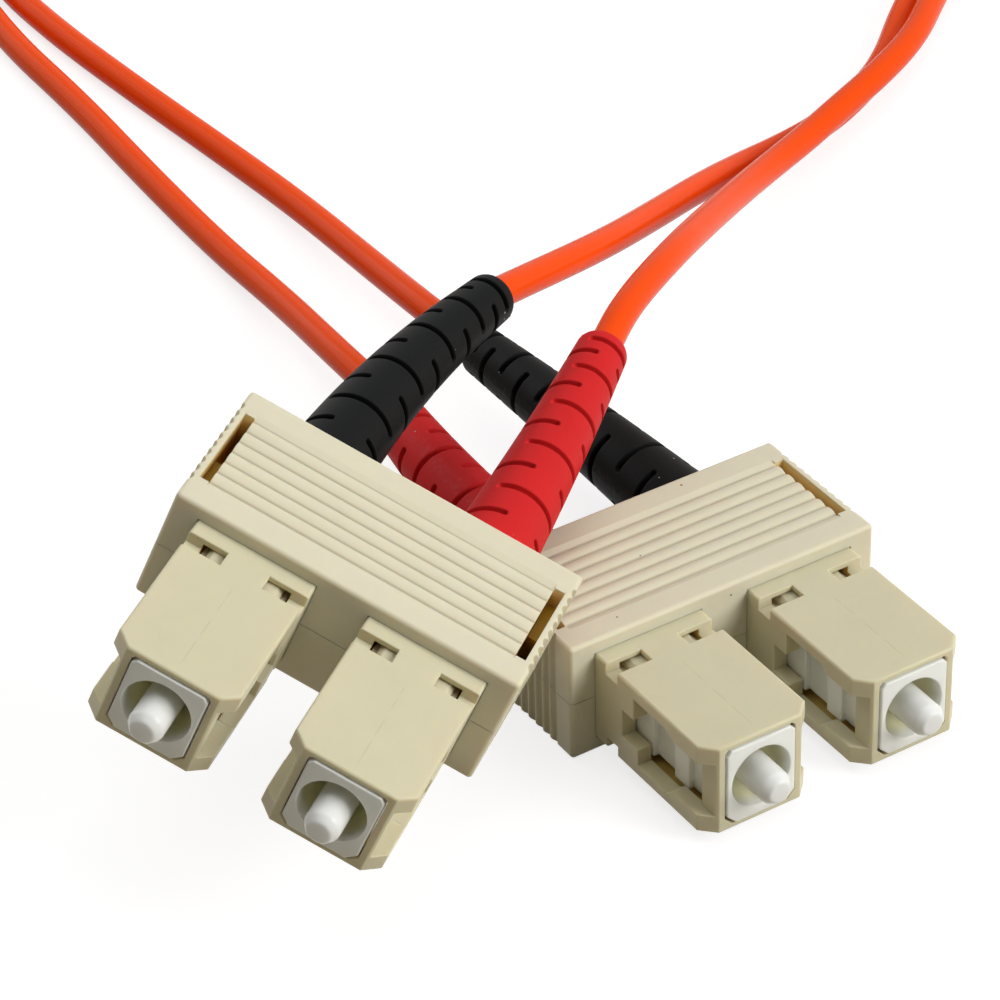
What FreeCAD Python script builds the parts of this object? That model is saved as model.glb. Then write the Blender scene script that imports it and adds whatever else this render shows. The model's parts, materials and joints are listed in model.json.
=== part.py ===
"""Duplex fibre optic patch cable: two clipped pairs of push-pull plugs on a twin cord, in millimetres."""
import FreeCAD, Part
import math
import os
from FreeCAD import Placement, Rotation, Vector

# Fits and clearances
FIT = 0.04            # between pieces that are pressed or snapped together
RUN_FIT = 0.08        # round a sliding hub
SLIDE_GAP = 0.10      # round the plug frame inside its sliding housing
FREE_GAP = 0.25       # round loose inner pieces
BOOT_GAP = 0.40       # round a boot where it leaves the clip

# Cord
CORD_RADIUS = 1.2
JACKET_SQUEEZE = 0.18  # the jacket is thinner by this inside its crimp
FIBRE_RADIUS = 0.45
FIBRE_SLACK = 1.6     # empty depth behind the fibre's end, so that it can slide back

# Ferrule and flange
FERRULE_RADIUS = 1.25
FERRULE_TIP_BEVEL = 0.4
FERRULE_TIP_LENGTH = 0.6
FERRULE_RELIEF = 0.3  # the ground wall ends this far ahead of the flange
FERRULE_STEP = 0.16   # the pressed-in rear end is thinner by this
FERRULE_SEAT = 2.2    # depth of the press seat in the flange
SEAT_GAP = 0.01
HUB_WALL = 0.32
HUB_LENGTH = 0.8
COLLAR_LIP = 0.58
COLLAR_LENGTH = 1.6
TAIL_RADIUS = 1.42
TAIL_LENGTH = 3.5

# Plug frame
NOSE_WIDTH = 5.5
FRAME_HEIGHT = 6.2
FRAME_TOP_BEVEL = 0.35
FRAME_LOW_BEVEL = 0.7
FRAME_PROUD = 0.15    # reach past the housing's front
FERRULE_PROUD = 2.2   # reach past the frame's front
MOUTH_RADIUS = 2.375
MOUTH_DEPTH = 5.75
SHOULDER_WALL = 1.0
BAR_PROUD = 0.4       # latch bars stand out from the nose by this
BAR_HEIGHT = 4.9
BAR_START = 3.95
BAR_LENGTH = 1.7
RECESS_LENGTH = 2.5

# Spring, rear body and crimp sleeve
SPRING_LENGTH = 5.2
SPRING_WIRE = 0.42
SPRING_TURNS = 4
REAR_NOSE_LENGTH = 2.8
REAR_COLLAR_RADIUS = 2.7
REAR_COLLAR_LENGTH = 1.6
NECK_RADIUS = 1.8
NECK_LENGTH = 4.9
NECK_GROOVES = 3
NECK_GROOVE_DEPTH = 0.15
FIBRE_PASSAGE_GAP = 0.35
CRIMP_WALL = 0.4
CRIMP_SETBACK = 0.4
CRIMP_TAIL = 2.6

# Outer housing
PLATE_WALL = 0.45     # top and bottom, over the plug frame
SIDE_WALL = 1.175
HOUSING_REACH = 13.2  # front of the housing ahead of the clip's front face
HOUSING_EDGE = 0.22
HOUSING_CORNER = 1.1  # flat across the upright front corners
CHANNEL_DEPTH = 0.92
POST_LENGTH = 1.8
CHANNEL_LENGTH = 10.0
LIP_FRONT = 1.45      # channel lips: thick in front, thin behind a short slope
LIP_REAR = 0.95
LIP_FRONT_LENGTH = 4.0
LIP_SLOPE = 0.6
UPPER_BLOCK = (1.4, 1.8)
LOWER_BLOCK = (1.9, 1.3)
NOTCH_START = 0.55    # behind the channel's end
NOTCH_LENGTH = 1.35
NOTCH_DEPTH = 0.9
NOTCH_INNER = 1.55
KEY_WIDTH = 3.0
KEY_HEIGHT = 0.7
KEY_SETBACK = 1.0
KEY_LENGTH = 9.0
HOLD_START = 5.0      # grooves in the sides that the clip's ribs fill
HOLD_WIDTH = 1.2
HOLD_DEPTH = 0.5

# Clip
PITCH = 12.7
CLIP_DEPTH = 12.5
CLIP_WALL = 1.09
CLIP_END_WALL = 1.965
CLIP_REAR_WALL = 1.2
CLIP_ROUND = 0.32
PARTING_GAP = 0.06
PARTING_DEPTH = 0.15
SLOT_WIDTH = 0.75
SLOT_LENGTH = 7.6
SLOT_SETBACK = 2.45
SLOT_OUTER_WALL = 0.6
TONGUE_REACH = 3.2
TONGUE_ROOT = 0.9
RIDGES = 6
RIDGE_PITCH = 1.21
RIDGE_HEIGHT = 0.22
RIBS = 10
RIB_PITCH = 0.93
RIB_SETBACK = 2.25
RIB_RADIUS = 0.44
RIB_DEPTH = 0.28

# Boots
BOOT_NECK_RADIUS = 2.75   # inside the housing
BOOT_BASE_RADIUS = 3.15   # where it widens behind the clip
BOOT_TIP_RADIUS = 1.93
BOOT_TIP_ROUND = 0.45
BOOT_REACH = 28.2     # past the clip's rear face
BOOT_LAP = 2.5        # the boot starts this far behind the crimp sleeve's front
BOOT_STEP = 0.3       # the wide base starts this far behind the clip
BOOT_STIFF = 0.1      # straight stretch before the bend
BEND_ARC = 24.0       # length of the bend; the tip is straight again after it
BEND_SECTIONS = 8
CUTS = 10
CUT_WIDTH = 0.58
CUT_DEPTH = 0.6
CUT_SPAN = 128.0
CUT_TIP_MARGIN = 1.4
CUT_BASE_MARGIN = 3.85
CUT_SPREAD = 1.2     # the slots stand further apart towards the base

# Where the connectors lie: B flat on the surface, A beside it on its cords, turned and rolled
B_PLACE = (17.2, -12.7)
A_CORNER = (-0.34, 0.72, 2.05)   # A's inner rear corner, from B's left end, front face and top face
A_YAW = -52.9
A_ROLL = 23.45

# Plugs: name, connector, side of the clip, bend of the boot, and round its axis the directions of the bend
# and of the first pair of slots
PLUGS = (
    ("a_black", "a", -1, 11.0, -10.0, 5.0),
    ("a_red", "a", 1, 3.0, 180.0, 21.0),
    ("b_red", "b", -1, 9.0, 0.0, 66.0),
    ("b_black", "b", 1, 2.7, 180.0, 8.0),
)

# Cord routes after each boot: a short lead in line with the boot, then these points
LEAD = 6.0
ROUTES = {
    "a_black": (
        (31.5, 24.2, 12.4), (40.5, 30.6, 8.8), (49.3, 36.4, 5.6), (56.3, 40.7, 3.1), (62.0, 42.7, 1.7),
        (67.0, 44.4, 1.35), (72.0, 46.8, 1.2), (78.2, 50.9, 1.2), (85.4, 57.1, 1.2), (95.6, 64.8, 1.2),
        (103.2, 76.0, 1.3), (108.3, 88.0, 1.5), (110.35, 99.5, 1.65), (110.35, 110.9, 1.65),
    ),
    "a_red": (
        (35.4, 19.9, 13.0), (43.1, 26.7, 9.8), (50.7, 33.0, 6.6), (57.1, 37.5, 4.6), (63.1, 40.8, 3.6),
        (68.7, 43.6, 3.3), (76.1, 47.2, 3.1), (82.3, 50.8, 2.75), (88.2, 55.0, 2.3), (97.5, 63.0, 1.8),
        (105.3, 74.6, 1.4), (110.7, 87.0, 1.5), (112.8, 99.3, 1.65), (112.8, 110.9, 1.65),
    ),
    "b_red": (
        (15.6, 46.0, 2.4), (16.3, 57.5, 1.4), (16.6, 71.0, 1.2), (17.3, 84.5, 1.2), (17.8, 98.5, 1.2),
        (19.4, 110.8, 1.2), (23.8, 118.8, 1.25), (30.5, 124.5, 1.6), (38.5, 128.3, 2.4), (48.0, 132.3, 3.4),
        (57.0, 136.7, 4.1), (65.56, 141.0, 4.1),
    ),
    "b_black": (
        (23.6, 45.0, 3.0), (24.4, 58.0, 1.7), (23.9, 70.5, 1.2), (22.8, 83.0, 1.2), (21.8, 97.5, 1.2),
        (22.0, 110.0, 1.2), (25.8, 117.3, 1.25), (31.9, 122.4, 1.6), (39.5, 126.1, 2.4), (49.0, 130.1, 3.4),
        (58.1, 134.5, 4.1), (66.6, 138.8, 4.1),
    ),
}
RADIUS_SHARE = 0.45   # part of the shorter run that an arc takes up

# Coil of the cord's spare length, and the tie that holds it
COIL_CENTRE = (79.6, 110.9)
COIL_INNER = 24.5
COIL_OUTER = 34.5
COIL_HEIGHT = 4.9
COIL_ROUND = 1.6
TIE_THICKNESS = 0.45
TIE_WIDTH = 6.0
TIE_ANGLE = 215.0

# Sizes that follow, across the plug
hub_radius = FERRULE_RADIUS + HUB_WALL
shoulder_radius = hub_radius + RUN_FIT
collar_radius = hub_radius + COLLAR_LIP
bore_radius = collar_radius + FREE_GAP
rear_nose_radius = bore_radius - FIT
spring_radius = (TAIL_RADIUS + bore_radius) / 2
crimp_bore = NECK_RADIUS + FIT
crimp_radius = crimp_bore + CRIMP_WALL
squeezed_radius = CORD_RADIUS - JACKET_SQUEEZE
crimp_tail_bore = squeezed_radius + FIT
crimp_tail_radius = crimp_tail_bore + CRIMP_WALL
frame_width = NOSE_WIDTH + 2 * BAR_PROUD
housing_bore_width = frame_width + 2 * SLIDE_GAP
housing_bore_height = FRAME_HEIGHT + 2 * SLIDE_GAP
housing_mouth_width = NOSE_WIDTH + 2 * SLIDE_GAP
housing_width = housing_bore_width + 2 * SIDE_WALL
housing_height = housing_bore_height + 2 * PLATE_WALL
clip_length = PITCH + housing_width + 2 * FIT + 2 * CLIP_END_WALL
clip_height = housing_height + 2 * FIT + 2 * CLIP_WALL

# Places that follow, along the plug: zero is the clip's front face and the cord runs towards +Y
housing_front = -HOUSING_REACH
housing_rear = CLIP_DEPTH - CLIP_REAR_WALL - FIT
frame_front = housing_front - FRAME_PROUD
ferrule_tip = frame_front - FERRULE_PROUD
shoulder_front = frame_front + MOUTH_DEPTH
shoulder_rear = shoulder_front + SHOULDER_WALL
hub_front = shoulder_rear - HUB_LENGTH
collar_rear = shoulder_rear + COLLAR_LENGTH
tail_rear = collar_rear + TAIL_LENGTH
ferrule_rear = hub_front + FERRULE_SEAT
spring_seat = collar_rear + SPRING_LENGTH
frame_rear = spring_seat + REAR_NOSE_LENGTH
rear_collar_end = frame_rear + REAR_COLLAR_LENGTH
neck_rear = rear_collar_end + NECK_LENGTH
crimp_front = rear_collar_end + CRIMP_SETBACK
crimp_step = neck_rear + FIT
crimp_rear = crimp_step + CRIMP_TAIL
jacket_front = crimp_step + FIT
fibre_rear = crimp_rear
boot_front = crimp_front + BOOT_LAP
boot_base = CLIP_DEPTH + BOOT_STEP
bend_start = max(boot_base, crimp_rear) + BOOT_STIFF
bend_end = bend_start + BEND_ARC
boot_tip = CLIP_DEPTH + BOOT_REACH
channel_end = housing_front + CHANNEL_LENGTH
notch_front = channel_end + NOTCH_START
coil_axis = Vector(COIL_CENTRE[0], COIL_CENTRE[1], 0)


def box(x0, x1, y0, y1, z0, z1):
    """A block between two corners."""
    return Part.makeBox(x1 - x0, y1 - y0, z1 - z0, Vector(x0, y0, z0))


def rod(radius, y0, y1):
    """A cylinder along Y."""
    return Part.makeCylinder(radius, y1 - y0, Vector(0, y0, 0), Vector(0, 1, 0))


def turned(outline):
    """A solid turned round Y from (y, radius) points; the outline is closed along its last edge."""
    points = [Vector(radius, y, 0) for y, radius in outline]
    face = Part.Face(Part.makePolygon(points + points[:1]))
    return face.revolve(Vector(0, 0, 0), Vector(0, 1, 0), 360)


def beveled_bar(width, height, top_bevel, low_bevel, y0, y1):
    """A bar along Y whose long edges are beveled."""
    half_width = width / 2
    half_height = height / 2
    corners = (
        (half_width, -half_height + low_bevel), (half_width, half_height - top_bevel),
        (half_width - top_bevel, half_height), (top_bevel - half_width, half_height),
        (-half_width, half_height - top_bevel), (-half_width, -half_height + low_bevel),
        (low_bevel - half_width, -half_height), (half_width - low_bevel, -half_height),
    )
    points = [Vector(x, y0, z) for x, z in corners]
    return Part.Face(Part.makePolygon(points + points[:1])).extrude(Vector(0, y1 - y0, 0))


def ferrule():
    """The ceramic pin: beveled tip, ground wall and a thinner end pressed into the flange."""
    seat_radius = FERRULE_RADIUS - FERRULE_STEP
    wall_rear = hub_front - FERRULE_RELIEF
    return turned((
        (ferrule_tip, 0), (ferrule_tip, FERRULE_RADIUS - FERRULE_TIP_BEVEL),
        (ferrule_tip + FERRULE_TIP_LENGTH, FERRULE_RADIUS), (wall_rear, FERRULE_RADIUS),
        (wall_rear, seat_radius), (ferrule_rear, seat_radius), (ferrule_rear, 0),
    ))


def ferrule_flange():
    """The metal collar behind the ferrule, with a hub in front and a tube behind."""
    socket_radius = FERRULE_RADIUS - FERRULE_STEP + SEAT_GAP
    fibre_bore = FIBRE_RADIUS + FIT
    return turned((
        (hub_front, socket_radius), (hub_front, hub_radius), (shoulder_rear, hub_radius),
        (shoulder_rear, collar_radius), (collar_rear, collar_radius), (collar_rear, TAIL_RADIUS),
        (tail_rear, TAIL_RADIUS), (tail_rear, fibre_bore), (ferrule_rear, fibre_bore),
        (ferrule_rear, socket_radius),
    ))


def buffered_fibre():
    """The coated fibre from the ferrule's rear end into the jacket."""
    return rod(FIBRE_RADIUS, ferrule_rear, fibre_rear)


def plug_frame():
    """The white inner body: beveled nose, side latch bars and a stepped bore."""
    body = beveled_bar(NOSE_WIDTH, FRAME_HEIGHT, FRAME_TOP_BEVEL, FRAME_LOW_BEVEL, frame_front, frame_rear)
    bar_front = frame_front + BAR_START
    bar_rear = bar_front + BAR_LENGTH
    for y0, y1 in ((bar_front, bar_rear), (bar_rear + RECESS_LENGTH, frame_rear)):
        body = body.fuse(box(-frame_width / 2, frame_width / 2, y0, y1, -BAR_HEIGHT / 2, BAR_HEIGHT / 2))
    bore = turned((
        (frame_front, 0), (frame_front, MOUTH_RADIUS), (shoulder_front, MOUTH_RADIUS),
        (shoulder_front, shoulder_radius), (shoulder_rear, shoulder_radius), (shoulder_rear, bore_radius),
        (frame_rear, bore_radius), (frame_rear, 0),
    ))
    return body.cut(bore).removeSplitter()


def spring():
    """The flange's compression spring, of square wire."""
    rise = SPRING_LENGTH - SPRING_WIRE
    helix = Part.makeHelix(rise / SPRING_TURNS, rise, spring_radius)
    half = SPRING_WIRE / 2
    inner = spring_radius - half
    outer = spring_radius + half
    corners = [Vector(inner, 0, -half), Vector(outer, 0, -half),
               Vector(outer, 0, half), Vector(inner, 0, half)]
    wire = Part.Wire(helix).makePipeShell([Part.makePolygon(corners + corners[:1])], True, True)
    wire.Placement = Placement(Vector(0, collar_rear + half, 0), Rotation(Vector(1, 0, 0), -90))
    return wire


def rear_body():
    """The metal stop ring: nose in the frame, collar behind it and a grooved neck for the crimp."""
    front_bore = TAIL_RADIUS + FREE_GAP
    passage = FIBRE_RADIUS + FIBRE_PASSAGE_GAP
    body = turned((
        (spring_seat, front_bore), (spring_seat, rear_nose_radius), (frame_rear, rear_nose_radius),
        (frame_rear, REAR_COLLAR_RADIUS), (rear_collar_end, REAR_COLLAR_RADIUS),
        (rear_collar_end, NECK_RADIUS), (neck_rear, NECK_RADIUS), (neck_rear, passage),
        (frame_rear, passage), (frame_rear, front_bore),
    ))
    groove_pitch = NECK_LENGTH / (2 * NECK_GROOVES + 1)
    floor_radius = NECK_RADIUS - NECK_GROOVE_DEPTH
    for index in range(NECK_GROOVES):
        y0 = rear_collar_end + (2 * index + 1) * groove_pitch
        y1 = y0 + groove_pitch
        body = body.cut(rod(crimp_radius, y0, y1).cut(rod(floor_radius, y0, y1)))
    return body


def crimp_sleeve():
    """The stepped sleeve crimped on the neck in front and on the jacket behind."""
    return turned((
        (crimp_front, crimp_bore), (crimp_front, crimp_radius),
        (crimp_step + CRIMP_WALL, crimp_radius), (crimp_step + CRIMP_WALL, crimp_tail_radius),
        (crimp_rear, crimp_tail_radius), (crimp_rear, crimp_tail_bore),
        (crimp_step, crimp_tail_bore), (crimp_step, crimp_bore),
    ))


def channel_outline(front):
    """The side channel's outline in (y, z): lips that thin towards the rear, blocks in the rear corners."""
    half = housing_height / 2
    slope_start = housing_front + LIP_FRONT_LENGTH
    slope_end = slope_start + LIP_SLOPE
    upper_front = half - LIP_FRONT
    upper_rear = half - LIP_REAR
    block_top = channel_end - UPPER_BLOCK[0]
    block_low = channel_end - LOWER_BLOCK[0]
    return (
        (front, upper_front), (slope_start, upper_front), (slope_end, upper_rear),
        (block_top, upper_rear), (block_top, upper_rear - UPPER_BLOCK[1]),
        (channel_end, upper_rear - UPPER_BLOCK[1]), (channel_end, LOWER_BLOCK[1] - upper_rear),
        (block_low, LOWER_BLOCK[1] - upper_rear), (block_low, -upper_rear),
        (slope_end, -upper_rear), (slope_start, -upper_front), (front, -upper_front),
    )


def side_cut(outline, x0, x1):
    """A cutter of the given (y, z) outline between two x places, and its mirror image."""
    points = [Vector(x0, y, z) for y, z in outline]
    cutter = Part.Face(Part.makePolygon(points + points[:1])).extrude(Vector(x1 - x0, 0, 0))
    return [cutter, cutter.mirror(Vector(0, 0, 0), Vector(1, 0, 0))]


def outer_housing():
    """The push-pull grip: rectangular tube, side channels with windows, top and bottom notches, and a key."""
    half_width = housing_width / 2
    half_height = housing_height / 2
    body = box(-half_width, half_width, housing_front, housing_rear, -half_height, half_height)
    corners = [e for e in body.Edges if e.BoundBox.YMax < housing_front + FIT and e.BoundBox.ZLength > FIT]
    body = body.makeChamfer(HOUSING_CORNER, corners)
    rims = [e for e in body.Edges if e.BoundBox.ZLength < FIT and e.BoundBox.YMin < housing_rear - FIT]
    body = body.makeFillet(HOUSING_EDGE, rims)
    key_front = housing_front + KEY_SETBACK
    key = beveled_bar(KEY_WIDTH, 2 * KEY_HEIGHT, HOUSING_EDGE, HOUSING_EDGE,
                      key_front, key_front + KEY_LENGTH)
    key.translate(Vector(0, 0, -half_height))
    body = body.fuse(key)
    post_rear = housing_front + POST_LENGTH
    mouth = beveled_bar(housing_mouth_width, housing_bore_height, FRAME_TOP_BEVEL - SLIDE_GAP,
                        FRAME_LOW_BEVEL - SLIDE_GAP, housing_front - FIT, post_rear + FIT)
    bore = box(-housing_bore_width / 2, housing_bore_width / 2, post_rear, housing_rear + FIT,
               -housing_bore_height / 2, housing_bore_height / 2)
    cutters = [mouth, bore]
    channel_floor = half_width - CHANNEL_DEPTH
    cutters += side_cut(channel_outline(housing_front - FIT), channel_floor, half_width + FIT)
    cutters += side_cut(channel_outline(post_rear), NOSE_WIDTH / 2, channel_floor + FIT)
    for z0 in (half_height - NOTCH_DEPTH, -half_height - KEY_HEIGHT):
        z1 = z0 + NOTCH_DEPTH + KEY_HEIGHT
        cutters.append(box(NOTCH_INNER, half_width + FIT, notch_front, notch_front + NOTCH_LENGTH, z0, z1))
        cutters.append(box(-half_width - FIT, -NOTCH_INNER, notch_front, notch_front + NOTCH_LENGTH, z0, z1))
    groove_floor = half_width - HOLD_DEPTH
    for x0, x1 in ((groove_floor, half_width + FIT), (-half_width - FIT, -groove_floor)):
        cutters.append(box(x0, x1, HOLD_START, HOLD_START + HOLD_WIDTH,
                           -half_height - FIT, half_height + FIT))
    return body.cut(cutters).removeSplitter()


def ridge_cutter(x_reach, top):
    """Cuts rounded ridges along X, with crests level with the clip's top and a slope at each end."""
    y = (SLOT_SETBACK * 2 + SLOT_LENGTH - RIDGES * RIDGE_PITCH) / 2
    valley = top - RIDGE_HEIGHT
    edges = []
    start = Vector(-x_reach, y, valley)
    first = start
    for index in range(RIDGES):
        end = start + Vector(0, RIDGE_PITCH, 0)
        crest = start + Vector(0, RIDGE_PITCH / 2, RIDGE_HEIGHT)
        edges.append(Part.Arc(start, crest, end).toShape())
        start = end
    rear_roof = start + Vector(0, RIDGE_PITCH, 2 * RIDGE_HEIGHT)
    front_roof = first + Vector(0, -RIDGE_PITCH, 2 * RIDGE_HEIGHT)
    edges.append(Part.makeLine(start, rear_roof))
    edges.append(Part.makeLine(rear_roof, front_roof))
    edges.append(Part.makeLine(front_roof, first))
    return Part.Face(Part.Wire(edges)).extrude(Vector(2 * x_reach, 0, 0))


def clip_half():
    """The upper half of the clip; the lower half is the same moulding turned over."""
    half_length = clip_length / 2
    half_height = clip_height / 2
    block = box(-half_length, half_length, 0, CLIP_DEPTH, -half_height, half_height)
    body = block.makeFillet(CLIP_ROUND, block.Edges)
    cutters = [box(-clip_length, clip_length, -CLIP_DEPTH, 2 * CLIP_DEPTH, -clip_height, 0)]
    rim = box(-clip_length, clip_length, -CLIP_DEPTH, 2 * CLIP_DEPTH, 0, PARTING_GAP / 2)
    core = box(PARTING_DEPTH - half_length, half_length - PARTING_DEPTH, PARTING_DEPTH,
               CLIP_DEPTH - PARTING_DEPTH, 0, PARTING_GAP)
    cutters.append(rim.cut(core))
    pocket_side = housing_width / 2 + FIT
    pocket_top = housing_height / 2 + FIT
    rib_side = pocket_side - HOLD_DEPTH
    for centre in (-PITCH / 2, PITCH / 2):
        pocket = box(-pocket_side, pocket_side, -FIT, housing_rear + FIT, -FIT, pocket_top)
        for x0, x1 in ((rib_side, pocket_side + FIT), (-pocket_side - FIT, -rib_side)):
            rib_front = HOLD_START + FIT
            pocket = pocket.cut(box(x0, x1, rib_front, HOLD_START + HOLD_WIDTH - FIT, -FIT, pocket_top + FIT))
        hole = rod(BOOT_BASE_RADIUS + BOOT_GAP, housing_rear, CLIP_DEPTH + FIT)
        for cutter in (pocket, hole):
            cutter.translate(Vector(centre, 0, 0))
            cutters.append(cutter)
    slot_outer = half_length - SLOT_OUTER_WALL
    slot_inner = slot_outer - SLOT_WIDTH
    slot_middle = SLOT_SETBACK + SLOT_LENGTH / 2
    slot_rear = SLOT_SETBACK + SLOT_LENGTH
    front_half = (SLOT_SETBACK, slot_middle)
    rear_half = (slot_middle, slot_rear)
    tongues = []
    for side, own, other in ((1, front_half, rear_half), (-1, rear_half, front_half)):
        x0, x1 = sorted((side * slot_inner, side * slot_outer))
        cutters.append(box(x0, x1, own[0], own[1], TONGUE_ROOT, clip_height))
        cutters.append(box(x0, x1, other[0], other[1], -FIT, clip_height))
        tongues.append(box(x0 + FIT, x1 - FIT, own[0] + FIT, own[1] - FIT, -TONGUE_REACH, TONGUE_ROOT))
    cutters.append(ridge_cutter(slot_inner + FIT, half_height))
    for index in range(RIBS):
        y = RIB_SETBACK + index * RIB_PITCH
        for side in (-1, 1):
            x = side * (half_length + RIB_RADIUS - RIB_DEPTH)
            cutters.append(Part.makeCylinder(RIB_RADIUS, clip_height, Vector(x, y, 0)))
    return body.cut(cutters).fuse(tongues).removeSplitter()


def boot_radius(y):
    """The outer radius of the boot's tapering stretch at a place along its axis."""
    share = (y - boot_base) / (boot_tip - boot_base)
    return BOOT_BASE_RADIUS + (BOOT_TIP_RADIUS - BOOT_BASE_RADIUS) * share


def boot_axis(bend, y):
    """Centre and direction of a bent boot's axis at a distance along it."""
    turn, lean = bend
    sideways = Vector(math.cos(lean), 0, math.sin(lean))
    radius = BEND_ARC / turn
    angle = min(max(0.0, (y - bend_start) / radius), turn)
    along = Vector(0, math.cos(angle), 0) + sideways * math.sin(angle)
    arc_end = Vector(0, radius * math.sin(angle), 0) + sideways * (radius * (1 - math.cos(angle)))
    straight = y - bend_start - radius * angle
    return Vector(0, bend_start, 0) + arc_end + along * straight, along


def boot_cut(bend, y, turn):
    """A pair of opposite part-ring slots across the boot, turned from the top round its axis."""
    centre, along = boot_axis(bend, y)
    upright = Vector(0, 0, 1)
    across = (upright - along * along.dot(upright)).normalize()
    outer = boot_radius(y) + CUT_DEPTH
    inner = boot_radius(y) - CUT_DEPTH
    edge = along * (CUT_WIDTH / 2)
    slots = []
    for middle in (turn, turn + 180):
        ray = Rotation(along, middle - CUT_SPAN / 2).multVec(across)
        corners = [centre + ray * inner - edge, centre + ray * outer - edge,
                   centre + ray * outer + edge, centre + ray * inner + edge]
        face = Part.Face(Part.makePolygon(corners + corners[:1]))
        slots.append(face.revolve(centre, along, CUT_SPAN))
    return slots


def boot(bend, slot_turn):
    """The slotted rubber sleeve: a neck over the crimp, a bend behind the clip and a tapering tail."""
    body = turned((
        (boot_front, 0), (boot_front, BOOT_NECK_RADIUS), (boot_base, BOOT_NECK_RADIUS),
        (boot_base, BOOT_BASE_RADIUS), (bend_start, boot_radius(bend_start)), (bend_start, 0),
    ))
    rings = []
    for index in range(BEND_SECTIONS + 1):
        y = bend_start + BEND_ARC * index / BEND_SECTIONS
        centre, along = boot_axis(bend, y)
        rings.append(Part.Wire(Part.makeCircle(boot_radius(y), centre, along)))
    tail = Part.makeCone(boot_radius(bend_end), BOOT_TIP_RADIUS, boot_tip - bend_end, centre, along)
    rim = [edge for edge in tail.Edges if edge.Closed and abs(edge.Curve.Radius - BOOT_TIP_RADIUS) < FIT]
    tail = tail.makeFillet(BOOT_TIP_ROUND, rim)
    body = body.fuse([Part.makeLoft(rings, True), tail])
    cutters = [cord_tube(bend, boot_front, CORD_RADIUS + FIT, []),
               rod(crimp_radius + FIT, boot_front - FIT, crimp_step + CRIMP_WALL + FIT),
               rod(crimp_tail_radius + FIT, boot_front, bend_start)]
    reach = BOOT_REACH - CUT_TIP_MARGIN - CUT_BASE_MARGIN
    for index in range(CUTS):
        y = boot_tip - CUT_TIP_MARGIN - reach * (index / (CUTS - 1)) ** CUT_SPREAD
        cutters += boot_cut(bend, y, slot_turn + 90 * (index % 2))
    return body.cut(cutters)


def boot_path(bend, start):
    """Edges of a bent boot's axis from a place on its straight stretch to its tip."""
    begin = Vector(0, start, 0)
    corner = boot_axis(bend, bend_start)[0]
    middle = boot_axis(bend, bend_start + BEND_ARC / 2)[0]
    out = boot_axis(bend, bend_end)[0]
    tip = boot_axis(bend, boot_tip)[0]
    return [Part.makeLine(begin, corner), Part.Arc(corner, middle, out).toShape(), Part.makeLine(out, tip)]


def route_path(points, name):
    """Edges of straight runs joined by tangent arcs, each as large as its two runs allow."""
    edges = []
    radii = []
    start = points[0]
    for before, corner, after in zip(points, points[1:], points[2:]):
        arriving = corner - before
        leaving = after - corner
        turn = arriving.getAngle(leaving)
        reach = RADIUS_SHARE * min(arriving.Length, leaving.Length)
        radius = reach / math.tan(turn / 2)
        radii.append(round(radius, 1))
        arriving.normalize()
        leaving.normalize()
        inward = (leaving - arriving).normalize()
        arc_start = corner - arriving * reach
        arc_end = corner + leaving * reach
        sagitta = radius / math.cos(turn / 2) - radius
        edges.append(Part.makeLine(start, arc_start))
        edges.append(Part.Arc(arc_start, corner + inward * sagitta, arc_end).toShape())
        start = arc_end
    edges.append(Part.makeLine(start, points[-1]))
    print(name, "arc radii", radii)
    return edges


def cord_tube(bend, start, radius, outside):
    """A round tube along a boot's axis and then along the path outside it."""
    path = Part.Wire(boot_path(bend, start) + outside)
    section = Part.Wire(Part.makeCircle(radius, Vector(0, start, 0), Vector(0, 1, 0)))
    return path.makePipeShell([section], True, False)


def cord_leg(name, bend, place):
    """A single leg of the cord, from inside its crimp sleeve to the coil, in its plug's own frame."""
    tip, along = boot_axis(bend, boot_tip)
    home = place.inverse()
    points = [tip, tip + along * LEAD] + [home.multVec(Vector(*point)) for point in ROUTES[name]]
    outside = route_path(points, name)
    leg = cord_tube(bend, jacket_front, CORD_RADIUS, outside)
    length = sum(edge.Length for edge in boot_path(bend, jacket_front) + outside)
    print(name, "length", round(length, 1), "volume", round(leg.Volume, 1),
          "section times length", round(math.pi * CORD_RADIUS ** 2 * length, 1))
    passage = rod(FIBRE_RADIUS + FIBRE_PASSAGE_GAP, jacket_front - FIT, fibre_rear + FIBRE_SLACK)
    skin = rod(CORD_RADIUS + FIT, jacket_front - FIT, bend_start)
    squeezed = rod(squeezed_radius, jacket_front - FIT, bend_start)
    return leg.cut([passage, skin.cut(squeezed)])


def rounded_section(inner, outer, low, high, corner):
    """A face across the coil's ring, with rounded corners, in the XZ plane."""
    block = box(inner, outer, 0, corner, low, high)
    edges = [edge for edge in block.Edges if edge.BoundBox.YLength > FIT]
    rounded = block.makeFillet(corner, edges)
    return [face for face in rounded.Faces if face.BoundBox.YMax < FIT][0]


def cord_coil():
    """The outer shape of the cord's coiled spare length."""
    section = rounded_section(COIL_INNER, COIL_OUTER, TIE_THICKNESS, TIE_THICKNESS + COIL_HEIGHT, COIL_ROUND)
    ring = section.revolve(Vector(0, 0, 0), Vector(0, 0, 1), 360)
    ring.translate(coil_axis)
    return ring


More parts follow.
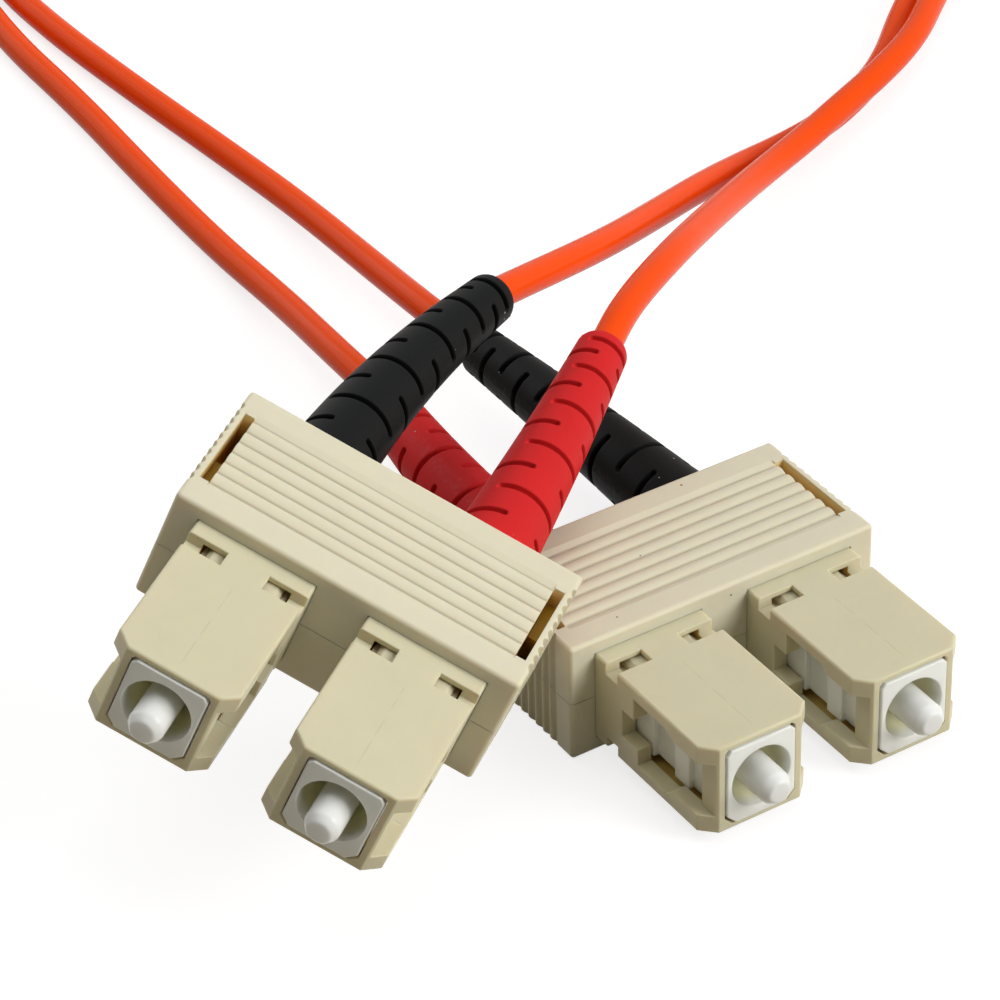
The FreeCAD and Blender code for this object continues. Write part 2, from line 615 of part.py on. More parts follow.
def coil_tie():
    """The flat band wrapped once round the coil's bundle."""
    hug = rounded_section(COIL_INNER - FIT, COIL_OUTER + FIT, TIE_THICKNESS - FIT,
                          TIE_THICKNESS + COIL_HEIGHT + FIT, COIL_ROUND + FIT)
    skin = rounded_section(COIL_INNER - TIE_THICKNESS, COIL_OUTER + TIE_THICKNESS, 0,
                           COIL_HEIGHT + 2 * TIE_THICKNESS, COIL_ROUND + TIE_THICKNESS)
    sweep = math.degrees(2 * TIE_WIDTH / (COIL_INNER + COIL_OUTER))
    band = skin.cut(hug).revolve(Vector(0, 0, 0), Vector(0, 0, 1), sweep)
    band.Placement = Placement(coil_axis, Rotation(Vector(0, 0, 1), TIE_ANGLE - sweep / 2))
    return band


def connector_places():
    """Placements of the two connectors: B level on the surface, A set by its inner rear corner."""
    b_place = Placement(Vector(B_PLACE[0], B_PLACE[1], clip_height / 2), Rotation())
    spin = Rotation(Vector(0, 0, 1), A_YAW).multiply(Rotation(Vector(0, 1, 0), A_ROLL))
    corner = b_place.Base + Vector(-clip_length / 2, 0, clip_height / 2) + Vector(*A_CORNER)
    a_place = Placement(corner - spin.multVec(Vector(clip_length / 2, CLIP_DEPTH, 0)), spin)
    return {"a": a_place, "b": b_place}


def placed(shape, place):
    """A copy of a shape moved from its own frame to the part's frame."""
    copy = shape.copy()
    copy.Placement = place.multiply(copy.Placement)
    return copy


def build():
    """All pieces by node name."""
    pieces = {}
    places = connector_places()
    upper = clip_half()
    turned_over = Placement(Vector(0, 0, 0), Rotation(Vector(0, 1, 0), 180))
    for letter, place in places.items():
        pieces["clip_upper_" + letter] = placed(upper, place)
        pieces["clip_lower_" + letter] = placed(upper, place.multiply(turned_over))
    shared = {
        "outer_housing": outer_housing(), "plug_frame": plug_frame(), "ferrule": ferrule(),
        "ferrule_flange": ferrule_flange(), "buffered_fibre": buffered_fibre(), "spring": spring(),
        "rear_body": rear_body(), "crimp_sleeve": crimp_sleeve(),
    }
    for name, letter, side, bend_degrees, lean_degrees, slot_turn in PLUGS:
        bend = (math.radians(bend_degrees), math.radians(lean_degrees))
        place = places[letter].multiply(Placement(Vector(side * PITCH / 2, 0, 0), Rotation()))
        for piece, shape in shared.items():
            pieces[piece + "_" + name] = placed(shape, place)
        pieces["boot_" + name] = placed(boot(bend, slot_turn), place)
        pieces["cord_leg_" + name] = placed(cord_leg(name, bend, place), place)
    pieces["cord_coil"] = cord_coil()
    pieces["coil_tie"] = coil_tie()
    return pieces


def main():
    """Writes one file for each piece."""
    os.makedirs("parts", exist_ok=True)
    for node, shape in build().items():
        if not shape.isValid() or len(shape.Solids) != 1:
            print("check", node, shape.isValid(), len(shape.Solids))
        shape.exportStep("parts/" + node + ".step")


main()
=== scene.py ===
"""Looks of the fibre optic patch cable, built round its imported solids."""
import json
import math

import bpy
from bpy.props import FloatProperty, FloatVectorProperty, IntProperty, PointerProperty
from mathutils import Matrix, Vector


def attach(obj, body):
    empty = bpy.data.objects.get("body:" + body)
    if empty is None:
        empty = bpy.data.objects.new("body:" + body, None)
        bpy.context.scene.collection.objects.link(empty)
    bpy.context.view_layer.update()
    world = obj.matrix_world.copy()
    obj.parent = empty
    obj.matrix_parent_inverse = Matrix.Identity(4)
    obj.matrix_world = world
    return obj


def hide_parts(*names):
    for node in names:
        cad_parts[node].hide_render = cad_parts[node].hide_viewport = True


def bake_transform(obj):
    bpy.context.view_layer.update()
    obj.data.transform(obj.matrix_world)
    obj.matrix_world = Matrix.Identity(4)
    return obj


bl_info = {
    "name": "Fibre Patch Cable Looks",
    "version": (1, 0, 0),
    "blender": (4, 5, 0),
    "location": "View3D > Sidebar > Patch Cable",
    "description": "Cords, boots, springs, finishes and stage for a duplex fibre patch cable",
    "category": "Object",
}

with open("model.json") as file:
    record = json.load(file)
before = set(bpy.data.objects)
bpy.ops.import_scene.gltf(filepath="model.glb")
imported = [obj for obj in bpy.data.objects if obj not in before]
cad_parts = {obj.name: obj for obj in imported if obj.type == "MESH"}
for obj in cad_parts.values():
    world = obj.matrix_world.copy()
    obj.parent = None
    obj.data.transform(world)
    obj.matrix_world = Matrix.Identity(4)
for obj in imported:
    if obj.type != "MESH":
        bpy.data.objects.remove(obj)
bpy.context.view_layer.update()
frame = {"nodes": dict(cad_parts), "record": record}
nodes = frame["nodes"]
record = frame["record"]

MM = 0.001
CARRIER = "cord_and_plugs"
PLUG_NAMES = ("a_black", "a_red", "b_red", "b_black")

# Places along a plug, in millimetres from the clip's front face towards the cord
PIN_MIDDLE = -11.325
JACKET_FRONT = 9.58
CRIMP_STEP = 9.98
CRIMP_REAR = 12.14
BOOT_FRONT = 7.5
BOOT_BASE = 12.8
BEND_START = 12.9
BEND_LENGTH = 24.0
BOOT_TIP = 40.7

# Radii of a boot, in millimetres: neck inside the housing, wide base, tip, and the bore's three steps
NECK_RADIUS = 2.75
BASE_RADIUS = 3.15
TIP_RADIUS = 1.93
CRIMP_BORE = 2.28
TAIL_BORE = 1.5
CORD_BORE = 1.24

# Roundings of a boot's edges, in millimetres
TIP_ROUND = 0.45
LIP_ROUND = 0.1
LIP_MIDDLE = (0.03, 0.02)  # a lip's middle point, along the boot and across it
NECK_FILLET = 0.06
NECK_BEVEL = 0.15

# Slots of a boot, in millimetres from its tip, and their angle round it in degrees
SLOT_FIRST = 1.4
SLOT_LAST = 24.35
SLOT_SPREAD = 1.2
SLOT_SPAN = 128.0
SLOT_LIP = 0.05
SLOT_WALL = 0.05
SEAM_HEIGHT = 0.03
SEAM_WIDTH = 2.5  # degrees to each side

# Steps of a boot's mesh: round it in degrees, and along it in millimetres
FINE_ANGLE = 0.9
FINE_LINES = range(-4, 13)  # fine steps at a slot's end, from outside it to inside
LEAST_ANGLE = 0.2
WIDE_ANGLE = 4.5
EDGE_ROWS = (0.13, SLOT_LIP, 0.02, 0.0, -0.02, -SLOT_WALL, -0.15)  # outwards from a slot's edge
WIDE_ROW = 0.6
SKIN_START = 0.12  # from the base to the skin's first row
BORE_ROWS = 10
TIP_ROWS = 6
WRAP_LENGTH = 40  # length of a boot's map

# The jacket's share of its diameter inside the crimp
SQUEEZED = 0.84

# Bend of each boot, and round its axis the directions of the bend and of its first slots, in degrees
BOOT_BENDS = {"a_black": (11.0, -10.0), "a_red": (3.0, 180.0), "b_red": (9.0, 0.0), "b_black": (2.7, 180.0)}
SLOT_TURNS = {"a_black": 5.0, "a_red": 21.0, "b_red": 66.0, "b_black": 8.0}

# Cord routes after each boot, in millimetres: a lead in line with the boot, then these points
LEADS = {"a_black": 0.6, "a_red": 6.0, "b_red": 0.6, "b_black": 0.6}
ROUTES = {
    "a_black": (
        (31.45, 24.45, 12.75), (40.45, 30.75, 8.95), (49.25, 36.55, 5.75), (56.3, 40.8, 3.15),
        (62.15, 43.2, 1.7), (67.0, 44.55, 1.35), (72.0, 46.6, 1.2), (78.4, 50.2, 1.2), (85.5, 56.85, 1.2),
        (95.6, 64.8, 1.2), (103.2, 76.0, 1.3), (108.3, 88.0, 1.5), (110.35, 99.5, 1.65),
    ),
    "a_red": (
        (35.3, 20.05, 13.1), (43.1, 26.7, 9.8), (50.7, 33.0, 6.6), (57.1, 37.5, 4.6), (63.1, 40.8, 3.6),
        (68.7, 43.6, 3.3), (76.2, 47.1, 3.05), (82.3, 50.8, 2.75), (88.0, 55.8, 2.3), (97.5, 63.4, 1.8),
        (105.3, 74.6, 1.4), (110.7, 87.0, 1.5), (112.8, 99.3, 1.65),
    ),
    "b_red": (
        (13.85, 34.05, 4.25), (15.5, 46.05, 2.3), (16.0, 57.4, 1.25), (16.6, 71.0, 1.2), (17.45, 84.6, 1.2),
        (17.6, 98.4, 1.2), (19.4, 110.8, 1.2), (23.8, 118.8, 1.25), (30.5, 124.5, 1.6), (38.5, 128.3, 2.4),
        (48.0, 132.3, 3.4), (57.0, 136.7, 4.1),
    ),
    "b_black": (
        (22.5, 33.9, 4.75), (23.6, 45.0, 3.0), (24.4, 58.0, 1.7), (23.9, 70.5, 1.2), (22.8, 83.0, 1.2),
        (21.8, 97.5, 1.2), (22.0, 110.0, 1.2), (25.8, 117.3, 1.25), (31.9, 122.4, 1.6), (39.5, 126.1, 2.4),
        (49.0, 130.1, 3.4), (58.1, 134.5, 4.1),
    ),
}

# Specks on each clip: place in its own frame and radius, in millimetres, and colour
DARK = (0.045, 0.04, 0.03)
RED = (0.45, 0.02, 0.02)
SPECK_RAGGED = (1.6, 0.2)  # share of the noise in a speck's radius, and the rest
SPECK_RIM = (0.7, 1.0)  # shares of that radius over which a speck fades
SPECKS = {
    "a": (((9.99, 7.53, 4.78), 0.09, DARK), ((7.94, 0.0, 3.23), 0.13, DARK)),
    "b": (((4.35, 11.6, 4.78), 0.11, RED), ((-2.7, 6.43, 4.62), 0.09, DARK),
          ((-5.39, 5.04, 4.78), 0.08, DARK), ((0.53, 0.0, 3.81), 0.09, DARK),
          ((-8.05, 1.34, 4.78), 0.08, DARK)),
}

# Grip slots and grooves of a clip, where shade is painted, seen from its middle, in millimetres
SLOT_ENDS = (11.43, 12.18)
SLOT_RUN = (2.45, 10.05)
SLOT_SOFT = 0.03
GROOVE_FIRST = 2.62
GROOVE_PITCH = 1.21
GROOVE_WIDTH = (0.04, 0.17)  # from a groove's middle, where its tone starts to fade and is gone
GROOVE_HEIGHT = (4.45, 4.52)
GROOVE_END = 0.06  # length over which a groove's tone runs out towards the slot
GROOVE_SHADE_SHARE = 0.5
# Colour of the shade painted along each groove
GROOVE_PAINTED_SHADE = (0.36, 0.31, 0.19)

# Painted light in a grip slot, an amber glow just below its lip and shade that deepens further down: height
# from the clip's middle where each one starts and is full, and its colour
SLOT_PAINTED_GLOW_AND_SHADE = (
    (4.74, 4.6, (0.88, 0.65, 0.20)),
    (4.5, 3.8, (0.52, 0.31, 0.035)),
    (3.4, 2.4, (0.40, 0.22, 0.02)),
)

# Mould line along a housing's top, and the inside of a housing where an amber glow of light through the
# plastic is painted, in millimetres
LINE_FRONT = -12.2
LINE_REAR = -4.2
LINE_WIDTH = (0.02, 0.07)  # from the line's middle, where it starts to fade and is gone
LINE_SOFT = 0.4  # at each end
LINE_HEIGHT = (3.5, 3.6)
LINE_NOISE = (0.4, 0.6)  # noise between the line's faint and its clear stretches
LINE_SHARE = (0.03, 0.26)  # of the tone there
LINE_TONE = (0.36, 0.32, 0.2)
BORE = (3.25, 3.2)  # half the width and the height inside a housing
BORE_SOFT = (0.02, 0.05)
BORE_FADE = 0.3  # length over which the tone starts, behind the front
# Colour of the amber glow painted on the housing's inner walls
BORE_PAINTED_GLOW = (0.60, 0.43, 0.13)

# Mouth of a plug frame, where a cream glow of light through the plastic is painted, and where a housing's
# notches show the frame, in millimetres
MOUTH_RADIUS = 2.375
MOUTH_SOFT = (0.02, 0.12)
MOUTH_FRONT = -13.35
MOUTH_FADE = (0.1, 1.6)  # depths over which the mouth's tone comes up
# Colour of the cream glow painted inside the mouth
MOUTH_PAINTED_GLOW = (0.96, 0.92, 0.60)
NOTCH_FRONT = -3.0
NOTCH_SOFT = 0.1

# Dust and bloom on rubber
DUST = (0.32, 0.31, 0.29)
BLOOM = (0.62, 0.60, 0.58)
BLOOM_REACH = (0.195, 0.25)  # turns over which the bloom comes up, with a seam at the second
BLOOM_NOISE = (0.48, 0.68)  # noise over which its patches come up

# Grain of every finish: scale of its slow drift, the gloss that drifts, and the relief's height in metres
DRIFT_SCALE = 260.0
GLOSS_DRIFT = 0.06
GRAIN_HEIGHT = 0.00002

# Light that passes a little way into the plastics
WARM = (("Specular IOR Level", 0.2), ("Subsurface Weight", 0.35),
        ("Subsurface Radius", (1.0, 0.6, 0.25)), ("Subsurface Scale", 0.0015))
SOFT_WHITE = (("Specular IOR Level", 0.25), ("Subsurface Weight", 0.5),
              ("Subsurface Radius", (1.0, 1.0, 1.0)), ("Subsurface Scale", 0.002))
METAL = (("Metallic", 1.0),)

# Ferrule springs, in millimetres: their ends along the plug, their mean radius and their wire's radius
SPRING_FRONT = -5.0
SPRING_REAR = 0.2
SPRING_RADIUS = 1.91
SPRING_WIRE = 0.205
SPRING_GAP = 0.01  # at each end
SPRING_TURNS = 6
SPRING_CLOSED = 0.46  # climb of the first turn and of the last one
SPRING_STEPS = 40  # points to a turn
SPRING_SIDES = 12

# Web that joins the two cords, in millimetres
WEB_LIMIT = 2.62  # no web where the cords' middles are further apart
WEB_ROOT = 1.1  # from a cord's middle to the web's edge
WEB_HEIGHT = 0.34  # half the web's height at its edges
WEB_WAIST = 0.14  # and in its middle
WEB_FADE = 10  # points over which an end of the web runs out

# Strap round the coil, in millimetres: section of the bundle and of the strap
BUNDLE = (24.46, 34.54, 0.41, 5.39)
BUNDLE_ROUND = 1.64
BUNDLE_STEP = 0.5
CORNER_STEPS = 8
STRAP_ANGLE = 215.0
STRAP_WIDTH = 6.0
STRAP_THICK = 0.4
STRAP_EDGE = 0.12  # width over which an edge thins out
STRAP_GAP = 0.01
STRAP_LAP = 6.2
STRAP_LIFT = 2.5  # length over which the lapping end climbs on the layer below
STRAP_PEEL = (2.0, 0.25)  # length and height of the loose end
THREADS = 18.0  # turns of the weave's waves, radians to the millimetre

# The coil: angle in degrees against the radius of the pair's middle and against the height, in millimetres
COIL_CENTRE = (79.6, 110.9)
COIL_END = 1195.0
COIL_STEP = 15.0
COIL_RADII = ((0, 32.0), (250, 32.0), (350, 27.0), (870, 27.0), (960, 32.0), (1195, 32.0))
COIL_HEIGHTS = ((0, 1.65), (520, 1.65), (610, 4.1), (1195, 4.1))
PAIR_OFFSET = {"black": -1.225, "red": 1.225}

# Stage, in metres: the floor, the glow that rays from the camera see near and far, and the world's two levels
FLOOR_SIDE = 3.0
FLOOR_DROP = 0.00005
GLOW_REACH = (0.3, 1.2)
GLOW = (0.76, 1.0)
WORLD_LEVELS = (0.05, 1.0)

# Lamps: name, place, target, size and power in watts
LAMPS = (
    ("overhead softbox", (0.0, 0.10, 0.70), (0.02, 0.0, 0.0), 0.8, 2.8),
    ("rear softbox", (-0.15, 0.70, 0.35), (0.03, 0.03, 0.0), 0.5, 1.8),
    ("right softbox", (0.45, -0.55, 0.38), (0.0, 0.0, 0.0), 0.5, 6.2),
)
CAMERA_PLACE = (-0.113596, -0.197102, 0.180189)
CAMERA_FORWARD = (0.42342, 0.69182, -0.58490)
CAMERA_UPWARD = (0.33305, 0.48155, 0.81067)

# Group sockets: their kinds, and the one for a place in a plug's or a clip's own frame
FLOAT = "NodeSocketFloat"
VECTOR = "NodeSocketVector"
COLOUR = "NodeSocketColor"
GEOMETRY = "NodeSocketGeometry"
PLACE = ("Vector", VECTOR, (0, 0, 0))
WHITE = (1, 1, 1, 1)

# Places of nodes in their editor
NODE_COLUMNS = 10
NODE_WIDTH = 200
NODE_HEIGHT = 300


class PATCH_cord_settings(bpy.types.PropertyGroup):
    """Sizes and colours of the orange twin cord."""
    diameter: FloatProperty(name="Diameter", description="Outer diameter of one cord", default=0.0024,
                            min=0.001, max=0.004, unit="LENGTH")
    colour: FloatVectorProperty(name="Jacket", description="Colour of the jacket", subtype="COLOR",
                                default=(0.86, 0.074, 0.005), min=0, max=1)


class PATCH_boot_settings(bpy.types.PropertyGroup):
    """Sizes and colours of the strain relief boots."""
    slots: IntProperty(name="Slots", description="Slot stations along a boot", default=10, min=4, max=14)
    slot_width: FloatProperty(name="Slot width", description="Width of a slot along the boot",
                              default=0.00058, min=0.0002, max=0.001, unit="LENGTH")
    slot_depth: FloatProperty(name="Slot depth", description="Depth of a slot below the skin",
                              default=0.0006, min=0.0002, max=0.0008, unit="LENGTH")
    red: FloatVectorProperty(name="Red rubber", description="Colour of the red boots", subtype="COLOR",
                             default=(0.57, 0.02, 0.021), min=0, max=1)
    black: FloatVectorProperty(name="Black rubber", description="Colour of the black boots", subtype="COLOR",
                               default=(0.0065, 0.007, 0.0068), min=0, max=1)


class PATCH_plastic_settings(bpy.types.PropertyGroup):
    """Colours of the moulded plastics and the ceramic."""
    housing: FloatVectorProperty(name="Housing", description="Colour of the plug housings", subtype="COLOR",
                                 default=(0.605, 0.557, 0.385), min=0, max=1)
    clip: FloatVectorProperty(name="Clip", description="Colour of the clip halves", subtype="COLOR",
                              default=(0.66, 0.615, 0.465), min=0, max=1)
    frame_white: FloatVectorProperty(name="Plug frame", description="Colour of the inner plug frames",
                                     subtype="COLOR", default=(0.90, 0.92, 0.875), min=0, max=1)
    ceramic: FloatVectorProperty(name="Ferrule", description="Colour of the ceramic ferrules",
                                 subtype="COLOR", default=(0.74, 0.745, 0.725), min=0, max=1)


class PATCH_stage_settings(bpy.types.PropertyGroup):
    """Floor, light and camera."""
    floor: FloatVectorProperty(name="Floor", description="Colour of the floor", subtype="COLOR",
                               default=(0.38, 0.38, 0.38), min=0, max=1)
    bounce: FloatVectorProperty(name="Bounce", description="Colour of the light that the floor throws back",
                                subtype="COLOR", default=(0.43, 0.38, 0.28), min=0, max=1)
    lens: FloatProperty(name="Lens", description="Focal length of the camera in millimetres", default=147.6,
                        min=20, max=400)


def sizes(name):
    """The property group of that name."""
    return getattr(bpy.context.scene, "patch_" + name)


def plug_matrix(name):
    """Row-frame matrix of a plug's own frame: X across the clip, Y towards the cord, lengths in metres."""
    pins = {mount["name"].removeprefix("ferrule_pin_"): mount for mount in record["mounts"]}
    first, second = [Vector(pins[other]["pos_m"]) for other in PLUG_NAMES if other[0] == name[0]]
    across = (second - first).normalized()
    along = -Vector(pins[name]["axis"]).normalized()
    base = Vector(pins[name]["pos_m"]) - along * (PIN_MIDDLE * MM)
    turn = Matrix((across, along, across.cross(along))).transposed().to_4x4()
    return Matrix.Translation(base) @ turn


def clip_matrix(letter):
    """Row-frame matrix of a connector's own frame, in the middle of its clip's front face."""
    first, second = [plug_matrix(name) for name in PLUG_NAMES if name[0] == letter]
    return Matrix.Translation((second.translation - first.translation) / 2) @ first


def boot_axis(name, y):
    """Centre and direction of a boot's bent axis at a distance along it, in the plug's frame, millimetres."""
    turn, lean = (math.radians(v) for v in BOOT_BENDS[name])
    sideways = Vector((math.cos(lean), 0, math.sin(lean)))
    radius = BEND_LENGTH / turn
    angle = min(max(0.0, (y - BEND_START) / radius), turn)
    along = Vector((0, math.cos(angle), 0)) + sideways * math.sin(angle)
    arc = Vector((0, radius * math.sin(angle), 0)) + sideways * (radius * (1 - math.cos(angle)))
    return Vector((0, BEND_START, 0)) + arc + along * (y - BEND_START - radius * angle), along


def eased(share):
    """A share that starts and stops softly."""
    return share * share * (3 - 2 * share)


def between(table, angle):
    """A value eased between the rows of a table."""
    for (a0, v0), (a1, v1) in zip(table, table[1:]):
        if angle <= a1:
            return v0 + (v1 - v0) * eased((angle - a0) / (a1 - a0))
    return table[-1][1]


def new_object(name, data):
    """A new object in the scene."""
    piece = bpy.data.objects.new(name, data)
    bpy.context.scene.collection.objects.link(piece)
    return piece


def mesh_object(name, points, faces, smooth=True):
    """A new object in the scene from points in the row frame."""
    mesh = bpy.data.meshes.new(name)
    mesh.from_pydata([tuple(p) for p in points], [], faces)
    mesh.validate()
    if smooth:
        mesh.polygons.foreach_set("use_smooth", [True] * len(mesh.polygons))
    return new_object(name, mesh)


def ringed(name, rings, looped=False):
    """A closed mesh through rings of equally many points, with flat ends unless it is looped."""
    width = len(rings[0])
    points = [point for ring in rings for point in ring]
    total = len(points)
    faces = [] if looped else [tuple(range(width))[::-1], tuple(range(total - width, total))]
    for start in range(0, total if looped else total - width, width):
        for column in range(width):
            after = (column + 1) % width
            faces.append((start + column, start + after, (start + width + after) % total,
                          (start + width + column) % total))
    return mesh_object(name, points, faces)


def divided(marks, step, least=0.0):
    """Places from mark to mark, at most a step apart; a mark closer than least to the next is passed over."""
    places = []
    for start, stop in zip(marks, marks[1:]):
        if stop - start < least:
            continue
        parts = max(1, math.ceil((stop - start) / step))
        places += [start + (stop - start) * part / parts for part in range(parts)]
    return places


def keep_map(piece, name, wraps):
    """Keeps a pair of measures for each point as a map of that name."""
    layer = piece.data.uv_layers.new(name=name)
    for loop in piece.data.loops:
        layer.data[loop.index].uv = wraps[loop.vertex_index]


# Boot shapes
def boot_radius(y):
    """Outer radius of a boot's tapering stretch, in millimetres."""
    return BASE_RADIUS + (TIP_RADIUS - BASE_RADIUS) * (y - BOOT_BASE) / (BOOT_TIP - BOOT_BASE)


def slot_places(name):
    """Place along the boot and direction round it of each slot station."""
    count = sizes("boot").slots
    rows = []
    for index in range(count):
        share = (index / (count - 1)) ** SLOT_SPREAD
        y = BOOT_TIP - SLOT_FIRST - (SLOT_LAST - SLOT_FIRST) * share
        rows.append((y, SLOT_TURNS[name] + 90 * (index % 2)))
    return rows


def carve(inside, depth):
    """Depth of a slot at a distance inside its edge: a soft lip, a steep wall and a floor."""
    lip_drop = SLOT_LIP / 2
    if inside <= -SLOT_LIP:
        return 0.0
    if inside < 0:
        return lip_drop * (1 + inside / SLOT_LIP) ** 2
    return lip_drop + (depth - lip_drop) * eased(min(1.0, inside / SLOT_WALL))


def wrapped(degrees):
    """An angle between -180 and 180."""
    return (degrees + 180) % 360 - 180


def boot_angles(name):
    """Angles of a boot's mesh lines, close together at the slots' ends."""
    fine = []
    for quarter in range(4):
        for side in (-1, 1):
            end = SLOT_TURNS[name] + quarter * 90 + side * SLOT_SPAN / 2
            fine += [(end - side * step * FINE_ANGLE) % 360 for step in FINE_LINES]
    fine.sort()
    return divided(fine + [fine[0] + 360], WIDE_ANGLE, LEAST_ANGLE)


def boot_rows(name):
    """Places along a boot of its skin's rows between base and tip, close together at the slots."""
    half = sizes("boot").slot_width / MM / 2
    steps = [half + step for step in EDGE_ROWS] + [0.0]
    fine = {BOOT_BASE + SKIN_START, BOOT_TIP - TIP_ROUND}
    for y, _ in slot_places(name):
        fine |= {round(y + step, 4) for step in steps} | {round(y - step, 4) for step in steps}
    fine = sorted(fine)
    return divided(fine, WIDE_ROW) + [fine[-1]]


def boot_skin(name, y, angle, stations):
    """Radius of the slotted skin at a place along the boot and round it."""
    settings = sizes("boot")
    half = settings.slot_width / MM / 2
    depth = settings.slot_depth / MM
    radius = boot_radius(y)
    cut = 0.0
    for station, turn in stations:
        along = abs(y - station)
        if along > half + SLOT_LIP:
            continue
        for middle in (turn, turn + 180):
            beyond = math.radians(abs(wrapped(angle - middle)) - SLOT_SPAN / 2) * radius + half
            cut = max(cut, carve(half - math.hypot(along, max(0.0, beyond)), depth))
    seam = min(abs(wrapped(angle - SLOT_TURNS[name] + side)) for side in (-90, 90))
    flash = SEAM_HEIGHT * max(0.0, 1 - seam / SEAM_WIDTH)
    return radius - cut + (flash if cut == 0 else 0)


def boot_profile(name):
    """Rows of a boot's closed mesh: along its bore, round the tip, back over the skin and round the neck."""
    rows = [(BOOT_FRONT, CRIMP_BORE), (CRIMP_STEP, CRIMP_BORE),
            (CRIMP_STEP, TAIL_BORE), (BEND_START, TAIL_BORE)]
    inner, outer = LIP_MIDDLE
    for index in range(BORE_ROWS + 1):
        rows.append((BEND_START + (BOOT_TIP - LIP_ROUND - BEND_START) * index / BORE_ROWS, CORD_BORE))
    rows += [(BOOT_TIP - inner, CORD_BORE + outer), (BOOT_TIP, CORD_BORE + LIP_ROUND)]
    for step in range(TIP_ROWS):
        turn = math.radians(90 * step / TIP_ROWS)
        y = BOOT_TIP - TIP_ROUND * (1 - math.cos(turn))
        rows.append((y, TIP_RADIUS - TIP_ROUND * (1 - math.sin(turn))))
    rows += [(y, None) for y in reversed(boot_rows(name))]
    rows += [(BOOT_BASE + inner, BASE_RADIUS - outer), (BOOT_BASE, BASE_RADIUS - LIP_ROUND),
             (BOOT_BASE, NECK_RADIUS + NECK_FILLET), (BOOT_BASE - NECK_FILLET, NECK_RADIUS),
             (BOOT_FRONT + NECK_BEVEL, NECK_RADIUS), (BOOT_FRONT, NECK_RADIUS - NECK_BEVEL)]
    return rows


def boot_object(name):
    """The slotted boot of a plug as one closed mesh, with its angle and place along it kept as a map."""
    place = plug_matrix(name)
    angles = boot_angles(name)
    stations = slot_places(name)
    rings = []
    wraps = []
    for y, radius in boot_profile(name):
        centre, along = boot_axis(name, y)
        top = (Vector((0, 0, 1)) - along * along.z).normalized()
        side = along.cross(top)
        ring = []
        for angle in angles:
            reach = boot_skin(name, y, angle, stations) if radius is None else radius
            turn = math.radians(angle)
            ring.append(place @ ((centre + (top * math.cos(turn) + side * math.sin(turn)) * reach) * MM))
            wraps.append((wrapped(angle - SLOT_TURNS[name]) / 360 + 0.5, y / WRAP_LENGTH))
        rings.append(ring)
    piece = ringed("boot_skin_" + name, rings, looped=True)
    keep_map(piece, "wrap", wraps)
    return piece


# Node helpers
def feed(tree, socket, value):
    """Links a socket to another one, or sets it to a plain value."""
    if isinstance(value, bpy.types.NodeSocket):
        tree.links.new(value, socket)
    else:
        socket.default_value = value


def add_node(tree, kind, *inputs, **values):
    """A node fed in the order of its sockets; a key feeds the socket that it names, or else is a setting."""
    node = tree.nodes.new(kind)
    row, column = divmod(len(tree.nodes), NODE_COLUMNS)
    node.location = (NODE_WIDTH * (column - NODE_COLUMNS - 1), NODE_HEIGHT * row)
    for key, value in values.items():
        if key in node.inputs:
            feed(tree, node.inputs[key], value)
        else:
            setattr(node, key, value)
    for socket, value in zip(node.inputs, inputs):
        feed(tree, socket, value)
    return node


def new_group(name, inputs, outputs, kind="ShaderNodeTree"):
    """An empty group with named sockets, its input sockets and its output node."""
    group = bpy.data.node_groups.new(name, kind)
    for label, socket_kind, default in inputs:
        socket = group.interface.new_socket(label, in_out="INPUT", socket_type=socket_kind)
        if default is not None:
            socket.default_value = default
    for label, socket_kind in outputs:
        group.interface.new_socket(label, in_out="OUTPUT", socket_type=socket_kind)
    start = add_node(group, "NodeGroupInput")
    end = add_node(group, "NodeGroupOutput")
    end.location = (NODE_WIDTH, 0)
    return group, start.outputs, end.inputs


def tone_group(name, *inputs):
    """An empty group that changes a colour, its input sockets and its output socket."""
    group, given, result = new_group(name, (("Color", COLOUR, WHITE), *inputs), (("Color", COLOUR),))
    return group, given, result["Color"]


def shared_group(name, maker):
    """The group of that name, made on first use."""
    return bpy.data.node_groups.get(name) or maker()


def maths(tree, operation, *values):
    """The result of a sum on sockets and numbers."""
    return add_node(tree, "ShaderNodeMath", *values, operation=operation).outputs["Value"]


def product(tree, sockets):
    """The product of several masks."""
    last = sockets[0]
    for socket in sockets[1:]:
        last = maths(tree, "MULTIPLY", last, socket)
    return last


def size_of(tree, socket):
    """The measure without its sign."""
    return maths(tree, "ABSOLUTE", socket)


def ranged(tree, socket, low, high, start=0.0, stop=1.0, kind="LINEAR"):
    """A value that goes from start to stop as a measure goes from low to high."""
    node = add_node(tree, "ShaderNodeMapRange", socket, low, high, start, stop, interpolation_type=kind)
    return node.outputs["Result"]


def ramp(tree, socket, low, high, start=0.0, stop=1.0):
    """A soft step from one value to another as a measure in millimetres goes from low to high."""
    return ranged(tree, socket, low * MM, high * MM, start, stop, "SMOOTHSTEP")


def within(tree, socket, low, high, soft):
    """A mask that is one where a measure lies between two values, in millimetres."""
    rising = ramp(tree, socket, low - soft, low + soft)
    return product(tree, [rising, ramp(tree, socket, high - soft, high + soft, 1, 0)])


def mixed(tree, mask, first, second):
    """The first colour, and the second one where the mask is one."""
    node = add_node(tree, "ShaderNodeMix", mask, data_type="RGBA")
    feed(tree, node.inputs[6], first)
    feed(tree, node.inputs[7], second)
    return node.outputs[2]


def axes(tree, vector):
    """The X, Y and Z of a vector."""
    return add_node(tree, "ShaderNodeSeparateXYZ", vector).outputs


def noise(tree, vector, scale, detail, roughness=0.5):
    """Noise between zero and one."""
    node = add_node(tree, "ShaderNodeTexNoise", Vector=vector, Scale=scale, Detail=detail,
                    Roughness=roughness)
    return node.outputs["Fac"]


def object_place(tree):
    """A surface's place in its object."""
    return add_node(tree, "ShaderNodeTexCoord").outputs["Object"]


